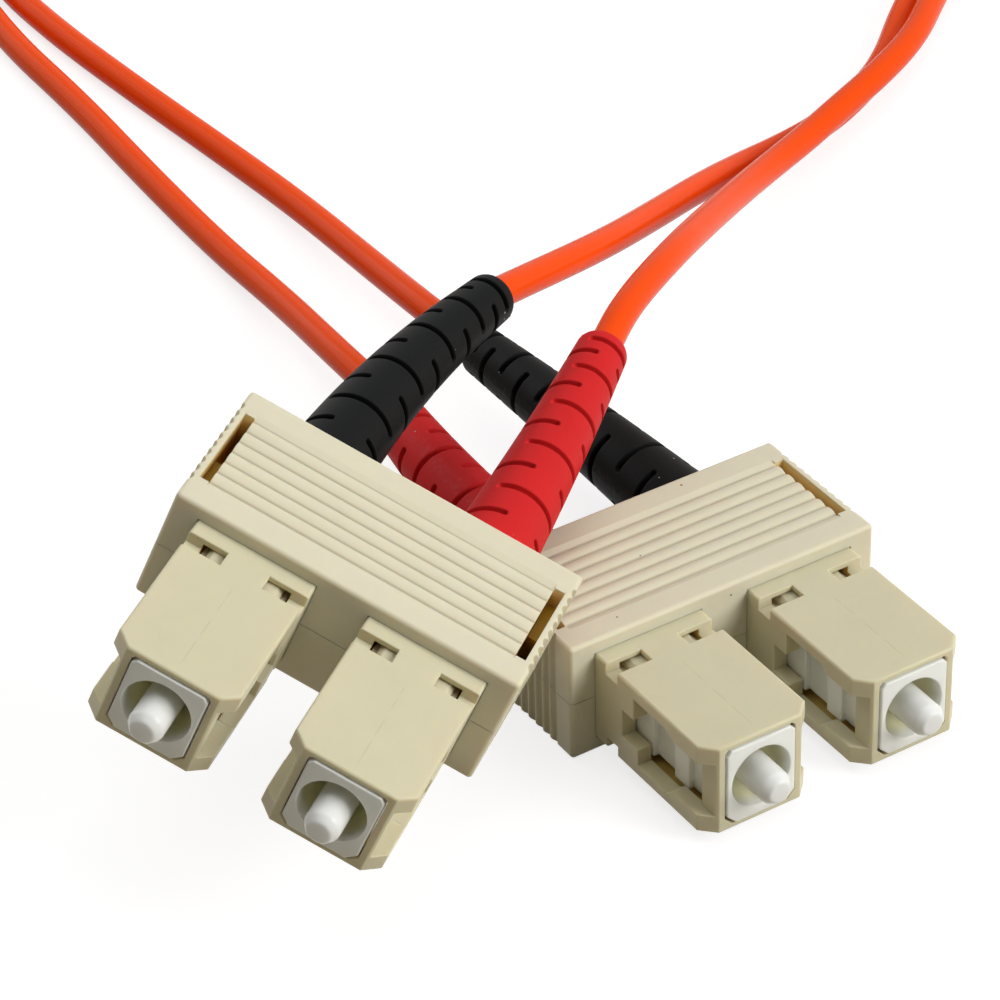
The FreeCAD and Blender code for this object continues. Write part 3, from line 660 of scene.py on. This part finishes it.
def own_space(tree, matrix):
    """A surface's place in a plug's or a clip's own frame, in metres."""
    turned = add_node(tree, "ShaderNodeMapping", vector_type="TEXTURE", Vector=object_place(tree),
                      Location=matrix.to_translation(), Rotation=matrix.to_euler())
    return turned.outputs["Vector"]


# Groups that finishes share
def moulded_grain_group():
    """A slow drift of tone and gloss, and a fine moulded texture."""
    group, given, result = new_group(
        "moulded grain",
        (("Color", COLOUR, WHITE), ("Contrast", FLOAT, 0.06), ("Roughness", FLOAT, 0.4),
         ("Scale", FLOAT, 6000.0), ("Strength", FLOAT, 0.3)),
        (("Color", COLOUR), ("Roughness", FLOAT), ("Normal", VECTOR)),
    )
    place = object_place(group)
    slow = noise(group, place, scale=DRIFT_SCALE, detail=4.0, roughness=0.55)
    drift = maths(group, "MULTIPLY_ADD", slow, 2.0, -1.0)
    tone = maths(group, "MULTIPLY_ADD", drift, given["Contrast"], 1.0)
    shade = add_node(group, "ShaderNodeVectorMath", given["Color"], operation="SCALE", Scale=tone)
    feed(group, result["Color"], shade.outputs["Vector"])
    feed(group, result["Roughness"], maths(group, "MULTIPLY_ADD", drift, GLOSS_DRIFT, given["Roughness"]))
    relief = add_node(group, "ShaderNodeBump", Strength=given["Strength"], Distance=GRAIN_HEIGHT,
                      Height=noise(group, place, given["Scale"], detail=3.0, roughness=0.6))
    feed(group, result["Normal"], relief.outputs["Normal"])
    return group


def dust_group():
    """Sparse pale specks of lint and dust."""
    group, given, result = tone_group("dust specks", ("Scale", FLOAT, 900.0), ("Size", FLOAT, 0.09),
                                      ("Share", FLOAT, 0.2))
    cells = add_node(group, "ShaderNodeTexVoronoi", feature="F1", Vector=object_place(group),
                     Scale=given["Scale"]).outputs
    pick = add_node(group, "ShaderNodeSeparateColor", cells["Color"]).outputs
    chosen = maths(group, "LESS_THAN", pick["Red"], given["Share"])
    reach = maths(group, "MULTIPLY", pick["Green"], given["Size"])
    close = maths(group, "LESS_THAN", cells["Distance"], reach)
    feed(group, result, mixed(group, product(group, [chosen, close]), given["Color"], (*DUST, 1)))
    return group


def bloom_group():
    """A pale patchy bloom along a boot's two mould seams."""
    group, given, result = tone_group("seam bloom", ("Bloom", FLOAT, 0.05))
    wrap = add_node(group, "ShaderNodeUVMap", uv_map="wrap").outputs["UV"]
    fold = maths(group, "PINGPONG", axes(group, wrap)["X"], BLOOM_REACH[1])
    near = ranged(group, fold, *BLOOM_REACH, 0.0, given["Bloom"], "SMOOTHSTEP")
    patchy = noise(group, object_place(group), scale=2200.0, detail=5.0, roughness=0.7)
    spots = ranged(group, patchy, *BLOOM_NOISE)
    feed(group, result, mixed(group, product(group, [near, spots]), given["Color"], (*BLOOM, 1)))
    return group


def speck_group():
    """A small irregular spot round a given point."""
    group, given, result = tone_group("speck", PLACE, ("Centre", VECTOR, (0, 0, 0)),
                                      ("Size", FLOAT, 0.0001), ("Tint", COLOUR, WHITE))
    ragged = noise(group, given["Vector"], scale=5000.0, detail=3.0)
    limit = maths(group, "MULTIPLY", maths(group, "MULTIPLY_ADD", ragged, *SPECK_RAGGED), given["Size"])
    reach = add_node(group, "ShaderNodeVectorMath", given["Vector"], given["Centre"], operation="DISTANCE")
    share = maths(group, "DIVIDE", reach.outputs["Value"], limit)
    inside = ranged(group, share, *SPECK_RIM, 1.0, 0.0, "SMOOTHSTEP")
    feed(group, result, mixed(group, inside, given["Color"], given["Tint"]))
    return group


def clip_glow_and_shade_group():
    """Painted shade in a clip's grooves, and in its slots a painted amber glow and shade that deepen with
    depth, from a place in the clip's frame.
    """
    group, given, result = tone_group("clip painted glow and shade", PLACE)
    across, along, height = axes(group, given["Vector"])
    across = size_of(group, across)
    height = size_of(group, height)
    run = within(group, along, *SLOT_RUN, SLOT_SOFT)
    slot = product(group, [within(group, across, *SLOT_ENDS, SLOT_SOFT), run])
    last = given["Color"]
    # Painted amber glow near each slot's lip, then painted shade deeper in the slot
    for top, floor, colour in SLOT_PAINTED_GLOW_AND_SHADE:
        deep = product(group, [slot, ramp(group, height, floor, top, 1, 0)])
        last = mixed(group, deep, last, (*colour, 1))
    # Painted shade along the grooves between the ridges
    shifted = maths(group, "SUBTRACT", along, GROOVE_FIRST * MM)
    fold = maths(group, "PINGPONG", shifted, GROOVE_PITCH / 2 * MM)
    groove = product(group, [ramp(group, fold, *GROOVE_WIDTH, GROOVE_SHADE_SHARE, 0.0), run,
                             ramp(group, across, SLOT_ENDS[0] - GROOVE_END, SLOT_ENDS[0], 1, 0),
                             ramp(group, height, *GROOVE_HEIGHT)])
    feed(group, result, mixed(group, groove, last, (*GROOVE_PAINTED_SHADE, 1)))
    return group


def housing_glow_and_line_group():
    """A painted amber glow of light through the plastic on a housing's inner walls, and a faint broken mould
    line on its top, from a place in the plug's frame.
    """
    group, given, result = tone_group("housing painted glow and mould line", PLACE)
    across, along, height = axes(group, given["Vector"])
    inner, outer = BORE_SOFT
    inside = [ramp(group, size_of(group, socket), half + inner, half + outer, 1, 0)
              for socket, half in zip((across, height), BORE)]
    inside.append(ramp(group, along, LINE_FRONT, LINE_FRONT + BORE_FADE))
    # Painted amber glow of light through the plastic on the inner walls
    amber = mixed(group, product(group, inside), given["Color"], (*BORE_PAINTED_GLOW, 1))
    broken = noise(group, given["Vector"], scale=900.0, detail=2.0)
    patches = ranged(group, broken, *LINE_NOISE, *LINE_SHARE)
    line = product(group, [ramp(group, size_of(group, across), *LINE_WIDTH, 1, 0),
                           ramp(group, height, *LINE_HEIGHT),
                           within(group, along, LINE_FRONT, LINE_REAR, LINE_SOFT), patches])
    feed(group, result, mixed(group, line, amber, (*LINE_TONE, 1)))
    return group


def frame_glow_and_notch_group():
    """A painted cream glow of light through the plastic inside the mouth, and another tone behind the
    notches, from a place in the plug's frame.
    """
    group, given, result = tone_group("plug frame painted glow and notch tone", PLACE, ("Rear", COLOUR, WHITE))
    across, along, height = axes(group, given["Vector"])
    section = add_node(group, "ShaderNodeCombineXYZ", across, height).outputs["Vector"]
    reach = add_node(group, "ShaderNodeVectorMath", section, operation="LENGTH").outputs["Value"]
    edge = [MOUTH_RADIUS + soft for soft in MOUTH_SOFT]
    depth = [MOUTH_FRONT + fade for fade in MOUTH_FADE]
    inside = product(group, [ramp(group, reach, *edge, 1, 0), ramp(group, along, *depth)])
    # Painted cream glow of light through the plastic, coming up deeper in the mouth
    cream = mixed(group, inside, given["Color"], (*MOUTH_PAINTED_GLOW, 1))
    behind = ramp(group, along, NOTCH_FRONT - NOTCH_SOFT, NOTCH_FRONT + NOTCH_SOFT)
    feed(group, result, mixed(group, behind, cream, given["Rear"]))
    return group


# Finishes
def new_material(name):
    """A new material and the sockets of its shader."""
    material = bpy.data.materials.new(name)
    material.use_nodes = True
    return material, shader_sockets(material)


def shader_sockets(material):
    """The sockets of a material's shader."""
    return material.node_tree.nodes["Principled BSDF"].inputs


def plastic(name, colour, roughness, bump, contrast=0.06, scale=6000.0, sockets=()):
    """A moulded finish: drifting tone, varied gloss and fine grain."""
    material, shader = new_material(name)
    tree = material.node_tree
    for label, value in sockets:
        shader[label].default_value = value
    grain = add_node(tree, "ShaderNodeGroup", node_tree=shared_group("moulded grain", moulded_grain_group),
                     Color=(*colour, 1), Contrast=contrast, Roughness=roughness, Scale=scale, Strength=bump)
    feed(tree, shader["Base Color"], grain.outputs["Color"])
    for label in ("Roughness", "Normal"):
        feed(tree, shader[label], grain.outputs[label])
    return material


def recolour(material, name, maker, **values):
    """Passes a finish's colour through a shared group."""
    tree = material.node_tree
    colour = shader_sockets(material)["Base Color"]
    before = colour.links[0].from_socket
    node = add_node(tree, "ShaderNodeGroup", node_tree=shared_group(name, maker), Color=before, **values)
    feed(tree, colour, node.outputs["Color"])


def rubber(name, colour, roughness, bloom):
    """Moulded rubber: fine pits, lint specks and a pale bloom along the mould seams."""
    material = plastic(name, colour, roughness, bump=0.5, contrast=0.10, scale=9000.0,
                       sockets=(("Specular IOR Level", 0.05),))
    recolour(material, "dust specks", dust_group, Share=0.22)
    recolour(material, "seam bloom", bloom_group, Bloom=bloom)
    return material


def clip_finish(letter):
    """Beige plastic with a clip's painted shade and glow in its grooves and slots, and with the specks that
    this clip shows.
    """
    material = plastic("clip plastic " + letter, sizes("plastic").clip, roughness=0.42, bump=0.3,
                       contrast=0.04, sockets=WARM)
    place = own_space(material.node_tree, clip_matrix(letter))
    recolour(material, "clip painted glow and shade", clip_glow_and_shade_group, Vector=place)
    for centre, radius, colour in SPECKS[letter]:
        recolour(material, "speck", speck_group, Vector=place, Centre=Vector(centre) * MM,
                 Size=radius * MM, Tint=(*colour, 1))
    return material


def housing_finish(name):
    """Beige plastic with a housing's painted amber glow inside and its mould line."""
    material = plastic("housing plastic " + name, sizes("plastic").housing, roughness=0.38, bump=0.3,
                       contrast=0.05, sockets=WARM)
    place = own_space(material.node_tree, plug_matrix(name))
    recolour(material, "housing painted glow and mould line", housing_glow_and_line_group, Vector=place)
    return material


def frame_finish(name):
    """White plastic with a plug frame's painted cream glow in its mouth, and the housing's own tone behind
    its notches.
    """
    material = plastic("plug frame plastic " + name, sizes("plastic").frame_white, roughness=0.35, bump=0.2,
                       contrast=0.03, sockets=SOFT_WHITE)
    place = own_space(material.node_tree, plug_matrix(name))
    recolour(material, "plug frame painted glow and notch tone", frame_glow_and_notch_group, Vector=place,
             Rear=(*sizes("plastic").housing, 1))
    return material


def woven(name, colour):
    """Black woven hook-and-loop tape: crossing threads and a dusting of fuzz."""
    material = plastic(name, colour, roughness=0.85, bump=0.6, contrast=0.35, scale=14000.0,
                       sockets=(("Sheen Weight", 0.3),))
    tree = material.node_tree
    normal = shader_sockets(material)["Normal"]
    parts = axes(tree, add_node(tree, "ShaderNodeUVMap", uv_map="weave").outputs["UV"])
    threads = [maths(tree, "SINE", maths(tree, "MULTIPLY", parts[label], THREADS)) for label in ("X", "Y")]
    relief = add_node(tree, "ShaderNodeBump", Strength=0.8, Distance=0.00008, Height=product(tree, threads),
                      Normal=normal.links[0].from_socket)
    feed(tree, normal, relief.outputs["Normal"])
    return material


def edge_group():
    """Marks long outer edges for rounding, and keeps inner and short ones crisp."""
    group, given, result = new_group(
        "edges to round",
        (("Geometry", GEOMETRY, None), ("Least Angle", FLOAT, 0.6), ("Least Length", FLOAT, 0.0)),
        (("Geometry", GEOMETRY),),
        kind="GeometryNodeTree",
    )
    turn = add_node(group, "GeometryNodeInputMeshEdgeAngle").outputs
    ends = add_node(group, "GeometryNodeInputMeshEdgeVertices").outputs
    length = add_node(group, "ShaderNodeVectorMath", ends["Position 1"], ends["Position 2"],
                      operation="DISTANCE").outputs["Value"]
    over = []
    for measure, least in ((turn["Unsigned Angle"], "Least Angle"), (turn["Signed Angle"], "Least Angle"),
                           (length, "Least Length")):
        compare = add_node(group, "FunctionNodeCompare", measure, given[least], operation="GREATER_THAN")
        over.append(compare.outputs["Result"])
    sharp, outer, long = over
    both = add_node(group, "FunctionNodeBooleanMath", outer, long, operation="AND").outputs["Boolean"]
    crisp = add_node(group, "FunctionNodeBooleanMath", sharp, both, operation="NIMPLY").outputs["Boolean"]
    last = given["Geometry"]
    for label, kind, value in (("bevel_weight_edge", "FLOAT", both), ("sharp_edge", "BOOLEAN", crisp)):
        store = add_node(group, "GeometryNodeStoreNamedAttribute", data_type=kind, domain="EDGE",
                         Geometry=last, Name=label, Value=value)
        last = store.outputs["Geometry"]
    feed(group, result["Geometry"], last)
    return group


def modify(piece, label, kind, **values):
    """A new modifier with its settings."""
    modifier = piece.modifiers.new(label, kind)
    for key, value in values.items():
        setattr(modifier, key, value)
    return modifier


def soften(piece, width, limit, shortest):
    """Rounds the outer edges of a solid that are longer than a length, in millimetres."""
    modify(piece, "join", "WELD", merge_threshold=0.001 * MM)
    modify(piece, "plain faces", "DECIMATE", decimate_type="DISSOLVE", angle_limit=math.radians(0.5))
    group = shared_group("edges to round", edge_group)
    marks = modify(piece, "edges to round", "NODES", node_group=group)
    labels = {item.name: item.identifier for item in group.interface.items_tree if item.in_out == "INPUT"}
    marks[labels["Least Angle"]] = math.radians(limit)
    marks[labels["Least Length"]] = shortest * MM
    modify(piece, "round edges", "BEVEL", width=width * MM, segments=2, limit_method="WEIGHT",
           use_clamp_overlap=False)
    modify(piece, "even shading", "WEIGHTED_NORMAL", keep_sharp=True)


def finish_node(node, material, width=0.0, limit=35.0, shortest=0.0):
    """Gives a carried-over solid its finish, and rounds its outer edges if a width is given."""
    piece = nodes[node]
    piece.data.materials.clear()
    piece.data.materials.append(material)
    if width:
        soften(piece, width, limit, shortest)


def spring_object(name):
    """A plug's spring of round wire, its first and last turns closed."""
    place = plug_matrix(name)
    along = Vector((0, 1, 0))
    rise = SPRING_REAR - SPRING_FRONT - 2 * (SPRING_WIRE + SPRING_GAP)
    pitch = (rise - 2 * SPRING_CLOSED) / (SPRING_TURNS - 2)
    rings = []
    for index in range(SPRING_TURNS * SPRING_STEPS + 1):
        turns = index / SPRING_STEPS
        closed = min(turns, 1.0) + max(0.0, turns - SPRING_TURNS + 1)
        y = SPRING_FRONT + SPRING_GAP + SPRING_WIRE + closed * SPRING_CLOSED + (turns - closed) * pitch
        turn = 2 * math.pi * turns
        outward = Vector((math.cos(turn), 0, math.sin(turn)))
        ring = []
        for side in range(SPRING_SIDES):
            angle = 2 * math.pi * side / SPRING_SIDES
            reach = (outward * math.cos(angle) + along * math.sin(angle)) * SPRING_WIRE
            ring.append(place @ ((outward * SPRING_RADIUS + along * y + reach) * MM))
        rings.append(ring)
    return ringed("spring_wire_" + name, rings)


def leg_points(name):
    """A cord's points from inside its crimp to the coil, in the row frame."""
    place = plug_matrix(name)
    tip, along = boot_axis(name, BOOT_TIP)
    middle = boot_axis(name, BEND_START)[0] + Vector((0, BEND_LENGTH / 2, 0))
    inside = [Vector((0, JACKET_FRONT, 0)), Vector((0, CRIMP_REAR, 0)), middle,
              tip, tip + along * LEADS[name]]
    return [place @ (p * MM) for p in inside] + [Vector(p) * MM for p in ROUTES[name]]


def coil_point(radius, angle, height):
    """A point in the row frame from its place round the coil, in millimetres and radians."""
    x, y = COIL_CENTRE
    return Vector((x + radius * math.cos(angle), y + radius * math.sin(angle), height)) * MM


def coil_points(colour):
    """A cord's points round the coil."""
    points = []
    for index in range(int(COIL_END / COIL_STEP) + 1):
        angle = index * COIL_STEP
        radius = between(COIL_RADII, angle) + PAIR_OFFSET[colour]
        points.append(coil_point(radius, math.radians(angle), between(COIL_HEIGHTS, angle)))
    return points


def cord_object(colour):
    """One whole cord, thinner at both ends where a crimp squeezes it."""
    points = leg_points("a_" + colour) + coil_points(colour) + leg_points("b_" + colour)[::-1]
    curve = bpy.data.curves.new("cord_" + colour, "CURVE")
    curve.dimensions = "3D"
    spline = curve.splines.new("NURBS")
    spline.points.add(len(points) - 1)
    for point, place in zip(spline.points, points):
        point.co = (*place, 1)
    for index in (0, 1, -2, -1):
        spline.points[index].radius = SQUEEZED
    spline.order_u = 3
    spline.use_endpoint_u = True
    spline.resolution_u = 8
    curve.bevel_depth = sizes("cord").diameter / 2
    curve.bevel_resolution = 7
    curve.use_fill_caps = True
    return new_object("cord_" + colour, curve)


def centre_line(cord):
    """Points along a cord's middle, read from its curve without thickness."""
    bare = cord.data.copy()
    bare.bevel_depth = 0
    holder = new_object("centre line", bare)
    line = bpy.data.meshes.new_from_object(holder)
    points = [vertex.co.copy() for vertex in line.vertices]
    bpy.data.objects.remove(holder)
    bpy.data.curves.remove(bare)
    bpy.data.meshes.remove(line)
    return points


def web_object(first, second):
    """The thin web that joins two cords wherever they lie side by side."""
    pairs = list(zip(centre_line(first), centre_line(second)))
    joined = [index for index, (a, b) in enumerate(pairs) if (b - a).length < WEB_LIMIT * MM]
    rings = []
    for index in joined:
        a, b = pairs[index]
        middle = (a + b) / 2
        across = (b - a).normalized()
        ahead = pairs[min(index + 1, len(pairs) - 1)]
        behind = pairs[index - 1]
        along = (sum(ahead, Vector()) - sum(behind, Vector())).normalized()
        upward = across.cross(along).normalized()
        fade = min(1.0, (min(index - joined[0], joined[-1] - index) + 1) / WEB_FADE)
        half = (b - a).length / 2 - WEB_ROOT * MM
        outline = ((-half, WEB_HEIGHT), (0, WEB_WAIST), (half, WEB_HEIGHT),
                   (half, -WEB_HEIGHT), (0, -WEB_WAIST), (-half, -WEB_HEIGHT))
        rings.append([middle + across * x + upward * (z * fade * MM) for x, z in outline])
    return ringed("cord_web", rings)


def bundle_path():
    """Points once round the bundle from the top's inner end: radius, height, outward normal and distance."""
    inner, outer, low, high = BUNDLE
    bend = BUNDLE_ROUND
    corners = ((outer - bend, high - bend, 90), (outer - bend, low + bend, 0),
               (inner + bend, low + bend, -90), (inner + bend, high - bend, -180))
    rows = [(inner + bend, high, Vector((0, 1)))]
    for r, z, angle in corners:
        for step in range(CORNER_STEPS + 1):
            turn = math.radians(angle - 90 * step / CORNER_STEPS)
            normal = Vector((math.cos(turn), math.sin(turn)))
            rows.append((r + bend * normal.x, z + bend * normal.y, normal))
    fine = []
    distance = 0.0
    for (r0, z0, n0), (r1, z1, n1) in zip(rows, rows[1:]):
        length = math.hypot(r1 - r0, z1 - z0)
        parts = max(1, math.ceil(length / BUNDLE_STEP))
        for part in range(parts):
            share = part / parts
            radius = r0 + (r1 - r0) * share
            height = z0 + (z1 - z0) * share
            fine.append((radius, height, n0.lerp(n1, share), distance + length * share))
        distance += length
    return fine, distance


def strap_object():
    """A woven strap wrapped round the coil, its end lapped over its start on the top."""
    path, around = bundle_path()
    lap = [(r, z, normal, around + distance) for r, z, normal, distance in path if distance <= STRAP_LAP]
    half = STRAP_WIDTH / 2
    flat = half - STRAP_EDGE
    thick = STRAP_THICK / 2
    outline = ((-half, 0), (-flat, thick), (0, thick), (flat, thick),
               (half, 0), (flat, -thick), (0, -thick), (-flat, -thick))
    reach = around + STRAP_LAP
    mean = (BUNDLE[0] + BUNDLE[1]) / 2
    peel_length, peel_height = STRAP_PEEL
    rings = []
    wraps = []
    for r, z, normal, distance in path + lap:
        climb = eased(min(1.0, max(0.0, (distance - around + STRAP_LIFT) / STRAP_LIFT)))
        peel = max(0.0, 1 - (reach - distance) / peel_length)
        raised = thick + STRAP_GAP + (STRAP_THICK + 2 * STRAP_GAP) * climb + peel_height * peel * peel
        ring = []
        for side, height in outline:
            turn = math.radians(STRAP_ANGLE) + side / mean
            lift = raised + height
            ring.append(coil_point(r + normal.x * lift, turn, z + normal.y * lift))
            wraps.append((distance, side))
        rings.append(ring)
    strap = ringed("coil_strap", rings)
    keep_map(strap, "weave", wraps)
    return strap


class PATCH_OT_finishes(bpy.types.Operator):
    """Give every carried-over solid its finish"""
    bl_idname = "patch_cable.finishes"
    bl_label = "Finishes"

    def execute(self, context):
        ceramic = plastic("ferrule ceramic", sizes("plastic").ceramic, roughness=0.16, bump=0.05,
                          contrast=0.02, sockets=SOFT_WHITE)
        nickel = plastic("nickel plate", (0.60, 0.58, 0.54), roughness=0.3, bump=0.2, sockets=METAL)
        coating = plastic("fibre coating", (0.80, 0.78, 0.68), roughness=0.4, bump=0.1)
        for letter in ("a", "b"):
            beige = clip_finish(letter)
            for half in ("clip_upper_", "clip_lower_"):
                finish_node(half + letter, beige, width=0.06, shortest=4.5)
        for name in PLUG_NAMES:
            finish_node("outer_housing_" + name, housing_finish(name), width=0.07)
            finish_node("plug_frame_" + name, frame_finish(name), width=0.09)
            finish_node("ferrule_" + name, ceramic, width=0.15, limit=20.0)
            for kind in ("ferrule_flange_", "rear_body_", "crimp_sleeve_"):
                finish_node(kind + name, nickel, width=0.05)
            finish_node("buffered_fibre_" + name, coating)
        return {"FINISHED"}


class PATCH_OT_springs(bpy.types.Operator):
    """Wind the four springs"""
    bl_idname = "patch_cable.springs"
    bl_label = "Springs"

    def execute(self, context):
        steel = plastic("spring steel", (0.45, 0.45, 0.46), roughness=0.32, bump=0.2, sockets=METAL)
        for name in PLUG_NAMES:
            piece = spring_object(name)
            piece.data.materials.append(steel)
            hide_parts("spring_" + name)
            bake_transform(piece)
        return {"FINISHED"}


class PATCH_OT_boots(bpy.types.Operator):
    """Build the four slotted rubber boots"""
    bl_idname = "patch_cable.boots"
    bl_label = "Boots"

    def execute(self, context):
        settings = sizes("boot")
        rubbers = {"red": rubber("red rubber", settings.red, roughness=0.52, bloom=0.05),
                   "black": rubber("black rubber", settings.black, roughness=0.50, bloom=0.035)}
        for name in PLUG_NAMES:
            colour = name[2:]
            piece = boot_object(name)
            piece.data.materials.append(rubbers[colour])
            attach(piece, CARRIER)
            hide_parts("boot_" + name)
        return {"FINISHED"}


class PATCH_OT_cords(bpy.types.Operator):
    """Lay the twin cord from connector to connector, coiled and strapped in the middle"""
    bl_idname = "patch_cable.cords"
    bl_label = "Cords"

    def execute(self, context):
        settings = sizes("cord")
        jacket = plastic("cord jacket", settings.colour, roughness=0.24, bump=0.25, contrast=0.03,
                         sockets=(("Specular IOR Level", 0.04),))
        cords = {colour: cord_object(colour) for colour in ("black", "red")}
        web = web_object(cords["black"], cords["red"])
        web.data.materials.append(jacket)
        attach(web, CARRIER)
        strap = strap_object()
        strap.data.materials.append(woven("strap tape", (0.02, 0.02, 0.021)))
        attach(strap, CARRIER)
        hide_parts("coil_tie")
        for colour, cord in cords.items():
            cord.data.materials.append(jacket)
            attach(cord, CARRIER)
            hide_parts("cord_leg_a_" + colour, "cord_leg_b_" + colour)
            if colour == "black":
                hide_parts("cord_coil")
        return {"FINISHED"}


def seen_rays(tree):
    """One for the rays that show the white surroundings: from the camera, mirrored or let through."""
    path = add_node(tree, "ShaderNodeLightPath").outputs
    either = maths(tree, "MAXIMUM", path["Is Camera Ray"], path["Is Glossy Ray"])
    return maths(tree, "MAXIMUM", either, path["Is Transmission Ray"])


def floor_object(settings):
    """A white floor that keeps the shadow, and is whiter far away."""
    side = FLOOR_SIDE
    floor = mesh_object("floor", [(-side, -side, 0), (side, -side, 0), (side, side, 0), (-side, side, 0)],
                        [(0, 1, 2, 3)], smooth=False)
    floor.location.z = -FLOOR_DROP
    material, shader = new_material("white floor")
    tree = material.node_tree
    seen = seen_rays(tree)
    feed(tree, shader["Base Color"], mixed(tree, seen, (*settings.bounce, 1), (*settings.floor, 1)))
    shader["Roughness"].default_value = 0.9
    shader["Specular IOR Level"].default_value = 0.1
    away = add_node(tree, "ShaderNodeVectorMath", object_place(tree), operation="LENGTH").outputs["Value"]
    glow = ranged(tree, away, *GLOW_REACH, *GLOW)
    shader["Emission Color"].default_value = WHITE
    feed(tree, shader["Emission Strength"], maths(tree, "MULTIPLY", seen, glow))
    floor.data.materials.append(material)
    return floor


class PATCH_OT_stage(bpy.types.Operator):
    """Add the floor, the soft light and the camera"""
    bl_idname = "patch_cable.stage"
    bl_label = "Stage"

    def execute(self, context):
        settings = sizes("stage")
        scene = context.scene
        scene.view_settings.view_transform = "Standard"
        floor_object(settings)
        world = bpy.data.worlds.new("studio")
        scene.world = world
        world.use_nodes = True
        tree = world.node_tree
        sky = tree.nodes["Background"].inputs
        sky["Color"].default_value = WHITE
        feed(tree, sky["Strength"], ranged(tree, seen_rays(tree), 0.0, 1.0, *WORLD_LEVELS))
        for label, place, target, size, power in LAMPS:
            data = bpy.data.lights.new(label, "AREA")
            data.energy = power
            data.size = size
            aim = Vector(target) - Vector(place)
            lamp = new_object(label, data)
            lamp.location = place
            lamp.rotation_mode = "QUATERNION"
            lamp.rotation_quaternion = aim.to_track_quat("-Z", "Y")
        data = bpy.data.cameras.new("camera")
        data.sensor_width = 36
        data.lens = settings.lens
        data.clip_start = 0.01
        data.clip_end = 20
        forward = Vector(CAMERA_FORWARD).normalized()
        right = forward.cross(Vector(CAMERA_UPWARD)).normalized()
        upward = right.cross(forward)
        turn = Matrix((right, upward, -forward)).transposed()
        camera = new_object("camera", data)
        camera.location = CAMERA_PLACE
        camera.rotation_mode = "QUATERNION"
        camera.rotation_quaternion = turn.to_quaternion()
        scene.camera = camera
        return {"FINISHED"}


class PATCH_PT_panel(bpy.types.Panel):
    """Shows a button for each step that builds the cable"""
    bl_idname = "PATCH_PT_panel"
    bl_label = "Patch Cable"
    bl_space_type = "VIEW_3D"
    bl_region_type = "UI"
    bl_category = "Patch Cable"

    def draw(self, context):
        for operator in OPERATORS:
            self.layout.operator(operator.bl_idname)


SETTINGS = {"cord": PATCH_cord_settings, "boot": PATCH_boot_settings, "plastic": PATCH_plastic_settings,
            "stage": PATCH_stage_settings}
OPERATORS = (PATCH_OT_finishes, PATCH_OT_springs, PATCH_OT_boots, PATCH_OT_cords, PATCH_OT_stage)


def register():
    """Registers the settings, the operators and the panel."""
    for label, group in SETTINGS.items():
        bpy.utils.register_class(group)
        setattr(bpy.types.Scene, "patch_" + label, PointerProperty(type=group))
    for operator in OPERATORS:
        bpy.utils.register_class(operator)
    bpy.utils.register_class(PATCH_PT_panel)


def unregister():
    """Removes what register added."""
    bpy.utils.unregister_class(PATCH_PT_panel)
    for operator in reversed(OPERATORS):
        bpy.utils.unregister_class(operator)
    for label, group in SETTINGS.items():
        delattr(bpy.types.Scene, "patch_" + label)
        bpy.utils.unregister_class(group)


def main():
    """Builds the looks."""
    register()
    bpy.ops.patch_cable.finishes()
    bpy.ops.patch_cable.springs()
    bpy.ops.patch_cable.boots()
    bpy.ops.patch_cable.cords()
    bpy.ops.patch_cable.stage()


if __name__ == "__main__":
    main()
